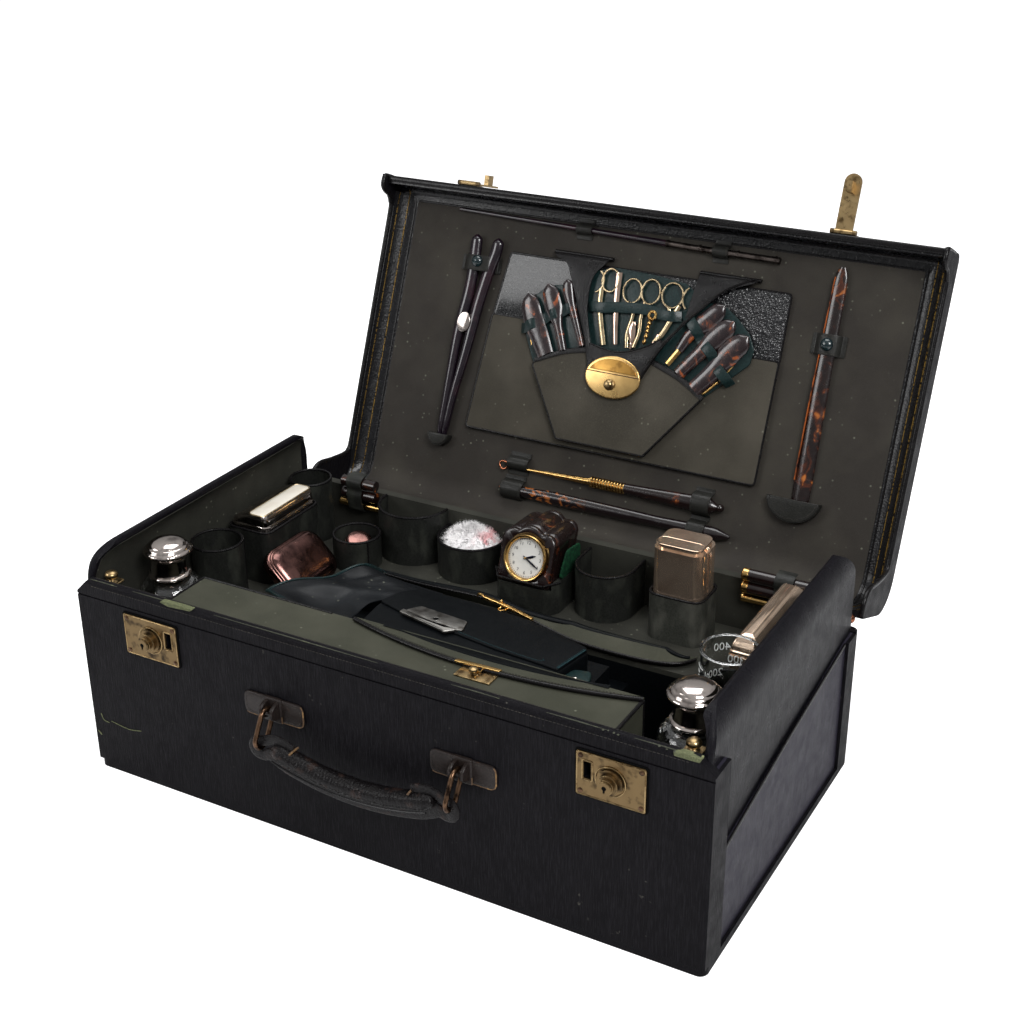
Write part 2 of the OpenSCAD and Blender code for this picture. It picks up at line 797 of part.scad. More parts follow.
module long_case_lid() {
    z = shelf_z + long_h - long_lid_h + 0.3;
    color(silver) {
        round_slab(long_at[0], long_at[1], long_at[2], long_at[3], z, z + 8, 3);
        round_slab(long_at[0] + 3, long_at[1] - 3, long_at[2] + 3, long_at[3] - 3, z + 7.9,
            z + long_lid_h - 0.3, 2.5);
    }
}

// Puff: a round cushion of down that fills its pocket and stands above it
module powder_puff() {
    r = puff_pocket[2] - pocket_t - 1;
    color("#f2eeec") intersection() {
        translate([puff_pocket[0], puff_pocket[1] + puff_pocket[2], shelf_z])
            rotate_extrude() polygon(concat([[0, 0], [r - 4, 0], [r, 6]], arc(0, 18, r, 0, 90, 8)));
        slab(puff_pocket[0] - r - 1, puff_pocket[0] + r + 1, 0, in_yb - 0.5, shelf_z - 1, shelf_z + 60);
    }
}

// Silver-backed brush that leans on the jar's pocket
module silver_brush() {
    color(silver) translate([brush_at[0], brush_at[1], shelf_z + 0.2]) rotate([0, 45, 0]) {
        round_slab(-42, 0, 0, 62, 0, 8, 14);
        round_slab(-39, -3, 3, 59, 7.9, 12, 12);
        round_slab(-30, -12, 10, 52, 11.9, 14, 8.5);
    }
}

module wallet() {
    color("#12141c") round_slab(wallet_at[0], wallet_at[1], wallet_at[2], wallet_at[3], bed_z,
        bed_z + 22, 5);
    color("#8f8f90") round_slab(wallet_at[0] + 14, wallet_at[0] + 62, wallet_at[2] + 43,
        wallet_at[2] + 60, bed_z + 21.9, bed_z + 23, 4);
}

// Stiffened front lip of the pouch with its gilt bar and ring, folded forward
module pouch_front_lip() {
    z = comp_z + 0.3;
    color(black) translate([0, 0, z]) linear_extrude(2.4) intersection() {
        translate([65 * kx, well_y0 + 340]) circle(r = 358, $fn = 180);
        translate([-41 * kx, well_y0 - 22]) square([comp_x1 + 41 * kx, 21.5]);
    }
    color(brass) {
        slab(66 * kx - 20, 66 * kx + 20, well_y0 - 17.8, well_y0 - 14.8, z, z + 3.4);
        slab(66 * kx - 3, 66 * kx + 3, well_y0 - 19.6, well_y0 - 17.7, z + 1.6, z + 2.6);
    }
}

// Rear lip of the pouch with its gilt bar and ring, folded back on the floor
module pouch_rear_lip() {
    z = shelf_z + 0.3;
    line = [[-126, 21], [-126, 19.4], [-80, 15], [-29, 11], [22, 6], [67, -0.5], [100, -3],
        [133, 1], [148, 18], [148, 21]];
    color(black) translate([0, 0, z]) linear_extrude(2.4) polygon([for (p = line)
        [p[0] * kx, well_y1 + p[1]]]);
    color(brass) {
        slab(-29 * kx, 22 * kx, well_y1 + 3, well_y1 + 8, z, z + 3.2);
        slab(-5 * kx - 3, -5 * kx + 3, well_y1 + 1, well_y1 + 3.1, z + 1.2, z + 2.4);
    }
}

// Lid: side section of the board, with the front lip and the deep back
module lid_section() {
    r = lid_back_r;
    ri = r - lid_t;
    cy = lid_y1 - r;
    cz = lid_top - r;
    polygon(concat(
        [[lid_y0, lip_z]],
        arc(lid_y0 + 6, lid_top - 6, 6, 180, 90, 6),
        arc(cy, cz, r, 90, 0, 12),
        [[lid_y1, lid_foot_z], [lid_y1 - lid_t, lid_foot_z]],
        arc(cy, cz, ri, 0, 90, 12),
        arc(lid_y0 + lid_t + 6, lid_z - 6, 6, 90, 180, 6),
        [[lid_y0 + lid_t, lip_z]]));
}

// Side outline of an end flange: beak, ogee, shallow run and rear lobe
module flange_outline() {
    r = lid_back_r;
    b = lip_z - beak_d;
    f = flange_z;
    polygon(concat(
        [[lid_y0, b]],
        arc(lid_y0 + 6, lid_top - 6, 6, 180, 90, 6),
        arc(lid_y1 - r, lid_top - r, r, 90, 0, 12),
        [[lid_y1, lid_foot_z]],
        [[lid_y1 - 12, lid_foot_z], [lid_y1 - 20, lid_foot_z + 8], [lid_y1 - 24, lid_foot_z + 26],
        [lid_y1 - 30, f - 5], [lid_y1 - 38, f]],
        [[lid_y0 + 27, f], [lid_y0 + 21, f - 2], [lid_y0 + 16, f - 7], [lid_y0 + 14, b + 5],
        [lid_y0 + 10, b]]));
}

module lid_shell() {
    color(black) on_lid() {
        along_x(-flange_x, flange_x) lid_section();
        for (s = [0, 1]) mirror([s, 0, 0]) along_x(flange_x, hx) flange_outline();
    }
}

// Concave glossy borders along both ends of the lid
module lid_borders() {
    x0 = flange_x - border_r;
    z0 = lid_z - border_r;
    color("#0e0e11") on_lid() for (s = [0, 1]) mirror([s, 0, 0])
        along_y(lid_y0 + lid_t + 8, lid_y1 - lid_back_r) difference() {
            translate([x0, flange_z]) square([border_r, lid_z - flange_z]);
            translate([x0, z0]) circle(border_r);
        }
}

// Lid's hinge knuckles with their leaves, and the hasps' plates, knuckles and pins
module lid_brass() {
    color(brass) on_lid() {
        for (x = [-133, 0, 133]) difference() {
            union() {
                rod_x(x - 14, x + 14, hinge_y, hinge_z, knuckle_d / 2);
                slab(x - 14, x + 14, lid_y1, lid_y1 + 1.2, hinge_z + 2, hinge_z + 30);
            }
            rod_x(x - 15, x + 15, hinge_y, hinge_z, rod_d / 2 + rod_clear);
        }
        for (s = [-1, 1]) {
            x = s * slot_x;
            slab(x - hasp_w / 2 - 3, x + hasp_w / 2 + 3, lid_y0 - 1, lid_y0, hasp_z + 2.6, hasp_z + 17);
            for (e = [-1, 1]) rod_x(min(x + e * 7.2, x + e * 10), max(x + e * 7.2, x + e * 10),
                hasp_y, hasp_z, hasp_knuckle_r);
            for (e = [-1, 1]) slab(min(x + e * 7.2, x + e * 10), max(x + e * 7.2, x + e * 10),
                lid_y0 - 1, lid_y0 - 0.1, hasp_z - 0.5, hasp_z + 4);
            rod_x(x - 8, x + 8, hasp_y, hasp_z, hasp_pin_r);
        }
    }
}

// Hasp's tongue with its knuckle and square staple, drawn hanging locked
module hasp_shape(x) {
    difference() {
        union() {
            rod_x(x - 6.9, x + 6.9, hasp_y, hasp_z, hasp_knuckle_r);
            slab(x - hasp_w / 2 + 0.4, x + hasp_w / 2 - 0.4, hasp_y - hasp_t + 0.4, hasp_y + 0.4,
                hasp_z - hasp_l + 5, hasp_z);
            rod_y(x, hasp_y - hasp_t + 0.4, hasp_y + 0.4, hasp_z - hasp_l + 5, hasp_w / 2 - 0.4);
            slab(x - staple_w / 2, x + staple_w / 2, hasp_y, yf + lock_recess - 1.5,
                slot_z - staple_h / 2, slot_z + staple_h / 2);
        }
        rod_x(x - 8, x + 8, hasp_y, hasp_z, hasp_pin_r + rod_clear);
    }
}

// Swings a hasp about its pin from locked to where the photograph shows it
module hasp(x, a) {
    color(brass) on_lid() translate([0, hasp_y, hasp_z]) rotate([-a, 0, 0])
        translate([0, -hasp_y, -hasp_z]) hasp_shape(x);
}

module hasp_left() {
    hasp(-slot_x, hasp_left_open);
}

module hasp_right() {
    hasp(slot_x, hasp_right_open);
}

// Places of the lid's tools; the wallets keep to the lid's width and depth
pocket_x0 = -130 * kx;
stretcher_x = pocket_x0 - 27;
horn_x = hx - 81;
horn_mid = -20 * ky;
stick_y = lid_y0 + 20;
hook_y = lid_y1 - 53.5;
tool_y = lid_y1 - 30.5;

function lid_pts(points) = [for (p = points) [p[0] * kx, p[1] * ky]];

// Flat document pocket: grained upper band over a cloth front
module document_pocket() {
    color(olive) on_lid() {
        slab(pocket_x0, 124 * kx, -88 * ky, 60 * ky, lid_z - 4, lid_z);
        slab(pocket_x0 + 2, 122 * kx, -88 * ky, -35 * ky, lid_z - 5, lid_z - 3.9);
    }
}

// Fan-shaped manicure wallet: backing, six-sided front, two flaps and an oval clasp
module fan_wallet() {
    z = lid_z - 5;
    color("#14241f") on_lid() {
        translate([0, 0, z - 1.6]) linear_extrude(1.6) polygon(lid_pts([[-81, 0], [-104, -48],
            [-82, -72], [-60, -80], [-36, -86], [40, -86], [66, -78], [86, -66], [104, -44], [72, 0]]));
        translate([0, 0, z - 6]) linear_extrude(4.5) polygon(lid_pts([[-81, -3], [-38, -24], [23, -24],
            [70, -2], [28, 53], [-48, 53]]));
        translate([0, 0, z - 8.2]) linear_extrude(1.4) {
            polygon(lid_pts([[-42, -21], [-37, -52], [-34, -96], [-83, -96], [-83, -88], [-64, -84],
                [-46, -44]]));
            polygon(lid_pts([[26, -22], [15, -24], [36, -68], [45, -95], [101, -94], [99, -86], [74, -78]]));
        }
        for (x = [[-83, -34], [45, 101]]) slab(x[0] * kx, x[1] * kx, -96 * ky, -96 * ky + 3, z - 8.1,
            lid_z - 0.1);
    }
    color(brass) on_lid() translate([-9 * kx, -4 * ky, z - 8]) linear_extrude(2.1)
        rounded_rect(-24, 24, -17, 17, 16.5);
}

// A flat tool in the fan, from its top to its foot
module fan_tool(ends, w, h) {
    p = lid_pts(ends);
    l = norm(p[1] - p[0]);
    a = atan2(p[1][1] - p[0][1], p[1][0] - p[0][0]);
    on_lid() translate([p[0][0], p[0][1], lid_z - 6.6 - h]) rotate([0, 0, a])
        round_slab(0, l, -w / 2, w / 2, 0, h, w / 2 - 0.1);
}

// Ring handles of the scissors
module fan_rings(at) {
    for (p = lid_pts(at)) on_lid() translate([p[0], p[1], lid_z - 9.6]) difference() {
        cylinder(r = 7.4, h = 2);
        translate([0, 0, -1]) cylinder(r = 5.9, h = 5);
    }
}

module manicure_tools() {
    color(shell) {
        for (p = [[[-95, -57], [-72, -13]], [[-77, -68], [-57, -23]], [[-62, -72], [-42, -27]],
            [[70, -71], [34, -40]], [[81, -60], [46, -22]], [[93, -50], [60, -10]]]) fan_tool(p, 12, 5);
    }
    color(brass) {
        fan_rings([[-27, -79], [-7, -74], [9, -75], [28, -74]]);
        for (p = [[[-28, -72], [-21, -28]], [[-17, -84], [-13, -30]], [[1, -71], [3, -29]],
            [[15, -56], [12, -31]], [[27, -68], [22, -34]]]) fan_tool(p, 4, 3);
    }
}

// Glove stretchers, shoehorn, buttonhook, second tool and long stick
module lid_tools() {
    z = lid_z - 0.1;
    color("#1a1220") on_lid() {
        for (s = [-1, 1]) translate([stretcher_x, 76, z - 4.5]) rotate([0, 0, 93.8 + s * 3])
            translate([-stretcher_l, 0, 0]) rotate([0, 90, 0]) cylinder(r1 = 4.4, r2 = 2.4, h = stretcher_l);
        translate([-177, stick_y, z - 3.5]) rotate([0, 90, 0]) cylinder(r1 = 1.6, r2 = 3.4, h = 286);
    }
    color(shell) on_lid() {
        translate([horn_x, horn_mid + horn_l / 2, z - 5]) linear_extrude(5) polygon([[-6, 0], [6, 0],
            [4, -horn_l + 4], [2, -horn_l], [-2, -horn_l], [-4, -horn_l + 4]]);
        rod_x(16, 103, hook_y, z - 4.4, 4.4);
        translate([-92, tool_y, z - 4]) rotate([0, 90, 0]) cylinder(r1 = 3.8, r2 = 4, h = 204);
    }
    color(brass) on_lid() translate([-94, hook_y, z - 4.4]) rotate([0, 90, 0])
        cylinder(r1 = 1.4, r2 = 4, h = 111);
}

// Loop of leather across a tool: centre, half sizes, and how far it stands out
module lid_loop(x, y, hx_out, hy_out, tall, along_tool_x) {
    wall_x = along_tool_x ? 0 : 1.6;
    wall_y = along_tool_x ? 1.6 : 0;
    difference() {
        slab(x - hx_out, x + hx_out, y - hy_out, y + hy_out, lid_z - tall, lid_z);
        slab(x - hx_out + (along_tool_x ? -1 : wall_x), x + hx_out + (along_tool_x ? 1 : -wall_x),
            y - hy_out + (along_tool_x ? wall_y : -1), y + hy_out + (along_tool_x ? -wall_y : 1),
            lid_z - tall + 1.2, lid_z + 1);
    }
}

// Half-round tuck pocket, open towards the lid's front
module tuck_pocket(x, y, r, tall) {
    difference() {
        translate([x, y, lid_z - tall]) linear_extrude(tall) half_disc(r);
        translate([x, y - 1, lid_z - tall + 1.2]) linear_extrude(tall) half_disc(r - 1.6);
    }
}

module half_disc(r) {
    intersection() {
        circle(r);
        translate([-r, 0]) square([2 * r, r]);
    }
}

// Leather loops, tabs and tuck pockets that hold the lid's tools
module tool_straps() {
    loop_half = 6.2;
    foot = tool_y + loop_half - (lid_y1 - lid_back_r);
    color(olive) on_lid() {
        for (p = [[-60, stick_y, 5.2], [59, stick_y, 5.8], [-80, hook_y, 5.4], [86, hook_y, 6.8]])
            lid_loop(p[0], p[1], 7, p[2] + 1, 2 * p[2] - 1, true);
        for (x = [-78, 92]) difference() {
            lid_loop(x, tool_y, 7, loop_half, 12, true);
            slab(x - 8, x + 8, tool_y + loop_half - foot, tool_y + loop_half + 1, lid_z - 1, lid_z + 1);
        }
        lid_loop(stretcher_x + 9.5, -77, 17, 7, 11, false);
        lid_loop(horn_x - 2, horn_mid - 36, 12, 7, 8, false);
        tuck_pocket(horn_x - 2.5, horn_mid + horn_l / 2 - 10, 21, 7.2);
        tuck_pocket(stretcher_x, 70, 11, 11);
    }
}

bottom_board();
front_wall();
corner_wraps();
back_wall();
back_inner_wall();
end_wall_left();
end_wall_right();
end_lower_panels();
false_floor();
jewel_well();
front_compartment();
bottle_pockets();
side_pockets();
jar_pocket();
left_rear_pockets();
back_pockets();
round_pocket();
box_pocket();
long_case_pocket();
clock_stand();
lock_plates();
lock_knob_left();
lock_knob_right();
handle_chapes();
handle_rings();
handle_grip();
brass_studs();
hinge_rod();
vanity_tubes();
tube_straps();
bottle_left();
bottle_right();
cap_left();
cap_right();
tumbler();
jar();
jar_lid();
silver_box();
silver_box_back();
long_case();
long_case_lid();
clock_case();
clock_dial();
clock_minute_hand();
clock_hour_hand();
powder_puff();
silver_brush();
wallet();
pouch_front_lip();
pouch_rear_lip();
lid_shell();
lid_borders();
lid_brass();
document_pocket();
fan_wallet();
manicure_tools();
lid_tools();
tool_straps();
hasp_left();
hasp_right();
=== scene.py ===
"""Fitted vanity case of black straight-grained leather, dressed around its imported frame."""
import random
from math import acos, asin, atan2, copysign, cos, hypot, pi, radians, sin, sqrt, tan

import bmesh
import bpy
from mathutils import Matrix, Vector, noise


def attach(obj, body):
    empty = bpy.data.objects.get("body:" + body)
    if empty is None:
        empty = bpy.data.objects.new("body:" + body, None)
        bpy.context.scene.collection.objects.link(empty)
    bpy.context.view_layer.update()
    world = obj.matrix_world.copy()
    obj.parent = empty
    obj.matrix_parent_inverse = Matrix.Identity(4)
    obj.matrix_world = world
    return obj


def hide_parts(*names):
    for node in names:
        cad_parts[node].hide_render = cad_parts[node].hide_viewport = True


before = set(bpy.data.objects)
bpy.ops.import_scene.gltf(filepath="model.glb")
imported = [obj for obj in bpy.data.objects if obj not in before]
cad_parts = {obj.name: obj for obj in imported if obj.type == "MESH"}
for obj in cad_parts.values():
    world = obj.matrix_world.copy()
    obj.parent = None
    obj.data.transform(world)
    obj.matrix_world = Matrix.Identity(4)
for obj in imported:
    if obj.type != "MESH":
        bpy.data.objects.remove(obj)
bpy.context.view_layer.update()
MM = 0.001
RNG = random.Random(11)
scene = bpy.context.scene

# Main measures in millimetres, as in the part's source
YF, YB = -133, 133
END_X, IN_YF, IN_YB = 235.5, -125, 119
SHELF, COMP_Z, RIM_H = 95, 148, 177
SIDES = ((-1, "left"), (1, "right"))
BOTTLE_X, BOTTLE_Y = 203, -78
TUMBLER = (202, -20)
LOCK_X, LOCK_Z = 175, 123
CLOCK = (4, 74, 136)
JAR = (-221, -186, 13, 77)
LONG_Y = (8, 100)
PUFF = (-62, 108)
POTS = (-148, 76)
CHAPE_X = 73
HINGE = Vector((0, 134.5, 116))
LID_OPEN = 112.4
LID_Y0, LID_Y1, LID_TOP, LID_Z = -135, 133.5, 188, 183
LIP_Z, FLANGE_Z, FLANGE_X, LID_FOOT = 157.5, 171, 236.5, 120.5
BORDER_X, BORDER_R = 218.5, 18
ROLL_CX, ROLL_MID, ROLL_A = 212, 20.5, 48
ROLL_CZ = RIM_H - 3 - ROLL_MID * sin(radians(ROLL_A))


def rot(axis, degrees):
    return Matrix.Rotation(radians(degrees), 4, axis)


def at(x, y, z):
    return Matrix.Translation((x, y, z))


ON_LID = at(*HINGE) @ rot("X", -LID_OPEN) @ at(*-HINGE)
ON_CLOCK = at(*CLOCK) @ rot("X", -20)


# Shapes: a shape is its vertices in millimetres and its faces
def moved(shape, matrix):
    return [matrix @ Vector(v) for v in shape[0]], shape[1]


def join(*shapes):
    """Several shapes as one."""
    verts, faces = [], []
    for v, f in shapes:
        k = len(verts)
        verts += [Vector(p) for p in v]
        faces += [[i + k for i in face] for face in f]
    return verts, faces


def loft(rings, loop=False):
    """A skin over rings of equal length, closed at its ends or joined into a loop."""
    n = len(rings[0])
    verts = [Vector(p) for r in rings for p in r]
    faces = []
    m = len(rings)
    for a in range(m if loop else m - 1):
        b = (a + 1) % m
        for i in range(n):
            j = (i + 1) % n
            faces.append([a * n + i, a * n + j, b * n + j, b * n + i])
    if not loop:
        faces.append(list(range(n))[::-1])
        faces.append([(m - 1) * n + i for i in range(n)])
    return verts, faces


def tube(path, size, n=12, loop=False, up=(0, 0, 1), square=1.0):
    """A rod along a path; size is a radius, a (side, up) pair, or a function of 0 to 1 giving one."""
    pts = [Vector(p) for p in path]
    k = len(pts)
    rings = []
    for i, p in enumerate(pts):
        a = pts[(i - 1) % k] if loop or i else p
        b = pts[(i + 1) % k] if loop or i < k - 1 else p
        t = (b - a).normalized()
        s = t.cross(Vector(up)).normalized()
        w = s.cross(t)
        r = size(i / (k - 1)) if callable(size) else size
        ra, rb = r if hasattr(r, "__len__") else (r, r)
        ring = []
        for j in range(n):
            q = 2 * pi * (j + 0.5) / n
            c, d = cos(q), sin(q)
            c = copysign(abs(c) ** square, c)
            d = copysign(abs(d) ** square, d)
            ring.append(p + s * ra * c + w * rb * d)
        rings.append(ring)
    return loft(rings, loop=loop)


def lathe(profile, n=48, loop=False, ripple=None):
    """Turns (radius, height) points about Z; ripple(angle, radius, height) may change a radius."""
    rings = []
    for r, z in profile:
        ring = []
        for j in range(n):
            q = 2 * pi * j / n
            rr = max(ripple(q, r, z) if ripple else r, 0.02)
            ring.append((rr * cos(q), rr * sin(q), z))
        rings.append(ring)
    return loft(rings, loop=loop)


def offset(outline, d):
    """A counter-clockwise outline, drawn in by d."""
    out = []
    k = len(outline)
    for i in range(k):
        a, b, c = (Vector(outline[j % k]).to_2d() for j in (i - 1, i, i + 1))
        e1, e2 = (b - a).normalized(), (c - b).normalized()
        n1, n2 = Vector((e1.y, -e1.x)), Vector((e2.y, -e2.x))
        m = (n1 + n2) / max(1 + n1.dot(n2), 0.35)
        out.append(b - m * d)
    return out


def rounded(points, r, n=5):
    """An outline with its corners rounded; a point may carry its own radius."""
    out = []
    k = len(points)
    for i in range(k):
        p = points[i]
        rad = p[2] if len(p) > 2 else r
        a, b, c = (Vector(points[j % k][:2]) for j in (i - 1, i, i + 1))
        u, v = (a - b), (c - b)
        lu, lv = u.length, v.length
        u, v = u / lu, v / lv
        half = acos(max(-1, min(1, u.dot(v)))) / 2
        if rad <= 0 or half > pi / 2 - 0.02:
            out.append(b)
            continue
        t = min(rad / tan(half), lu * 0.49, lv * 0.49)
        p0, p1 = b + u * t, b + v * t
        for s in range(n + 1):
            q = s / n
            out.append((1 - q) ** 2 * p0 + 2 * q * (1 - q) * b + q * q * p1)
    return out


def ellipse(x, y, rx, ry, angles):
    """Points round a middle, at angles in degrees."""
    return [(x + rx * cos(radians(a)), y + ry * sin(radians(a))) for a in angles]


def circle(x, y, r, n=36, a0=0, a1=360):
    k = n if a1 - a0 == 360 else n + 1
    return ellipse(x, y, r, r, [a0 + (a1 - a0) * i / n for i in range(k)])


def lay(points, z):
    """An outline laid flat at a height."""
    return [(p[0], p[1], z) for p in points]


def stand(points, y):
    """An outline stood up at a depth."""
    return [(p[0], y, p[1]) for p in points]


def rect(x0, x1, y0, y1, r=0.0, n=5):
    return rounded([(x0, y0), (x1, y0), (x1, y1), (x0, y1)], r, n)


def plate(outline, z0, z1, r=0.5, steps=3):
    """A board of one outline with its edges rounded on both faces."""
    rings = []
    for k in range(steps + 1):
        q = pi / 2 * k / steps
        rings.append((r * (1 - sin(q)), z0 + r * (1 - cos(q))))
    rings += [(a, z0 + z1 - z) for a, z in rings[::-1]]
    return loft([[(*p, z) for p in offset(outline, a)] for a, z in rings])


def box(x0, x1, y0, y1, z0, z1, r=0.3):
    """A block between two corners."""
    return plate(rect(x0, x1, y0, y1), z0, z1, r, 2)


def along_y(outline, y0, y1, r=0.4):
    """A board of an (x, z) outline between two depths."""
    return moved(plate(outline, -y1, -y0, r), rot("X", 90))


def along_x(outline, x0, x1, r=0.4):
    """A board of a (y, z) outline between two widths."""
    turn = Matrix(((0, 0, 1, 0), (1, 0, 0, 0), (0, 1, 0, 0), (0, 0, 0, 1)))
    return moved(plate(outline, x0, x1, r), turn)


def ball(c, r, n=12, squash=1.0):
    prof = [(r * sin(pi * k / n), -r * squash * cos(pi * k / n)) for k in range(n + 1)]
    return moved(lathe(prof, 2 * n), at(*c))


def facing(profile, n, x, y, z):
    """A turned piece that faces the front."""
    return moved(lathe(profile, n), at(x, y, z) @ rot("X", 90))


def beside(points, dx, dy, dz):
    return [p + Vector((dx, dy, dz)) for p in points]


def steps(a, b, n):
    """A straight line from a to b in n steps."""
    return [[p + (q - p) * k / n for p, q in zip(a, b)] for k in range(n + 1)]


def stitches(path, pitch=3.0, length=2.0, r=0.3, up=(0, 0, 1)):
    """A row of short threads along a path."""
    pts = [Vector(p) for p in path]
    out, left = [], pitch / 2
    for a, b in zip(pts, pts[1:]):
        d = b - a
        span = d.length
        while left < span:
            t = d / span
            c = a + t * left
            mid = c + Vector(up) * r * 0.35
            out.append(tube([c - t * length / 2, mid, c + t * length / 2], r, 5, up=up))
            left += pitch
        left -= span
    return join(*out)


def bezier(points, n=12):
    """A smooth curve through points (Catmull-Rom)."""
    p = [Vector(q) for q in points]
    p = [2 * p[0] - p[1]] + p + [2 * p[-1] - p[-2]]
    out = []
    for i in range(1, len(p) - 2):
        a, b, c, d = p[i - 1:i + 3]
        for s in range(n):
            t = s / n
            out.append(0.5 * (2 * b + (c - a) * t + (2 * a - 5 * b + 4 * c - d) * t * t
                              + (3 * b - a - 3 * c + d) * t ** 3))
    out.append(p[-2])
    return out


def build(name, shape, look, body="case", place=None, sharp=42, rep=()):
    """Makes a shape into a piece that rides on a body."""
    verts, faces = shape
    if place is not None:
        verts = [place @ Vector(v) for v in verts]
    mesh = bpy.data.meshes.new(name)
    mesh.from_pydata([Vector(v) * MM for v in verts], [], faces)
    bm = bmesh.new()
    bm.from_mesh(mesh)
    bmesh.ops.remove_doubles(bm, verts=bm.verts, dist=2e-6)
    bmesh.ops.recalc_face_normals(bm, faces=bm.faces)
    limit = radians(sharp)
    for f in bm.faces:
        f.smooth = True
    for e in bm.edges:
        e.smooth = len(e.link_faces) != 2 or e.calc_face_angle(0) < limit
    bm.to_mesh(mesh)
    bm.free()
    obj = bpy.data.objects.new(name, mesh)
    scene.collection.objects.link(obj)
    mesh.materials.append(look.m)
    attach(obj, body)
    if rep:
        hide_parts(*rep)
    return obj


def on_lid(name, shape, look, rep=()):
    """A piece of the lid, drawn as it lies when shut."""
    return build(name, shape, look, "lid", ON_LID, rep=rep)


def dress(look, *nodes):
    """Gives CAD nodes a material."""
    for n in nodes:
        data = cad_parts[n].data
        data.materials.clear()
        data.materials.append(look.m)
        for p in data.polygons:
            p.material_index = 0


# Materials
def srgb(r, g, b):
    return tuple((c / 255 / 12.92) if c < 10 else ((c / 255 + 0.055) / 1.055) ** 2.4 for c in (r, g, b))


def feed(nt, socket, value):
    """Links a node's output to a socket, or sets the socket to a plain value."""
    if hasattr(value, "is_output"):
        nt.links.new(value, socket)
    else:
        socket.default_value = value


class Look:
    """A procedural material on the principled shader."""

    def __init__(self, name, slot, colour, rough, metal=0.0, coat=0.0, spec=0.5, turn=0.0):
        self.m = bpy.data.materials.new(name)
        self.m.use_nodes = True
        self.slot = slot
        self.turn = turn
        self.colour = (*colour, 1)
        self.normal = None
        self.nt = self.m.node_tree
        self.b = next(n for n in self.nt.nodes if n.type == "BSDF_PRINCIPLED")
        self.set("Base Color", self.colour)
        self.set("Roughness", rough)
        self.set("Metallic", metal)
        self.set("Coat Weight", coat)
        self.set("Coat Roughness", 0.15)
        self.set("Specular IOR Level", spec)

    def set(self, name, value):
        feed(self.nt, self.b.inputs[name], value)

    def node(self, kind, **inputs):
        n = self.nt.nodes.new("ShaderNode" + kind)
        for key, value in inputs.items():
            feed(self.nt, n.inputs[key], value)
        return n

    def place(self, size):
        """Object coordinates, one unit to each size in millimetres."""
        turned = self.node("Mapping", Vector=self.node("TexCoord").outputs["Object"],
                           Rotation=(radians(self.turn), 0, 0))
        return self.node("Mapping", Vector=turned.outputs[0], Scale=[1 / (s * MM) for s in size]).outputs[0]

    def noise(self, size, detail=2.0, distort=0.0):
        size = size if hasattr(size, "__len__") else (size,) * 3
        return self.node("TexNoise", Vector=self.place(size), Scale=1.0, Detail=detail,
                         Distortion=distort).outputs[0]

    def along(self, axis, lo, hi):
        """Rises from 0 to 1 between two places in millimetres along one axis."""
        split = self.node("SeparateXYZ", Vector=self.node("TexCoord").outputs["Object"])
        return self.level(split.outputs[axis], lo * MM, hi * MM)

    def cells(self, size):
        return self.node("TexVoronoi", Vector=self.place((size,) * 3), Scale=1.0).outputs["Distance"]

    def level(self, value, lo, hi, a=0.0, b=1.0):
        """Takes a value from the range lo to hi over to the range a to b."""
        n = self.node("MapRange")
        for socket, v in zip(n.inputs, (value, lo, hi, a, b)):
            feed(self.nt, socket, v)
        return n.outputs[0]

    def times(self, a, b):
        n = self.node("Math")
        n.operation = "MULTIPLY"
        for socket, v in zip(n.inputs, (a, b)):
            feed(self.nt, socket, v)
        return n.outputs[0]

    def tint(self, fac, colour):
        """Mixes a colour over what there is so far."""
        n = self.node("Mix")
        n.data_type = "RGBA"
        for i, v in ((0, fac), (6, self.colour), (7, (*colour, 1))):
            feed(self.nt, n.inputs[i], v)
        self.colour = n.outputs[2]
        self.set("Base Color", self.colour)
        return self

    def ramp(self, fac, stops):
        """Colours by stops of (place, colour)."""
        n = self.node("ValToRGB")
        feed(self.nt, n.inputs[0], fac)
        e = n.color_ramp.elements
        while len(e) < len(stops):
            e.new(0.5)
        for el, (p, c) in zip(e, stops):
            el.position = p
            el.color = (*c, 1)
        self.colour = n.outputs[0]
        self.set("Base Color", self.colour)
        return self

    def bump(self, height, depth, strength=1.0):
        n = self.node("Bump", Strength=strength, Distance=depth * MM, Height=height)
        if self.normal:
            feed(self.nt, n.inputs["Normal"], self.normal)
        self.normal = n.outputs[0]
        self.set("Normal", self.normal)
        return self

    def patches(self, size, detail, lo, hi, amount, colour):
        """Mixes in a colour where a noise rises from lo to hi."""
        return self.tint(self.level(self.noise(size, detail), lo, hi, 0.0, amount), colour)

    def grit(self, size, detail, depth, strength=1.0):
        """Raises the surface by a noise."""
        return self.bump(self.noise(size, detail), depth, strength)

    def shine(self, size, detail, lo, hi):
        """Lets the roughness vary between two values by a noise."""
        self.set("Roughness", self.level(self.noise(size, detail), 0.3, 0.7, lo, hi))
        return self


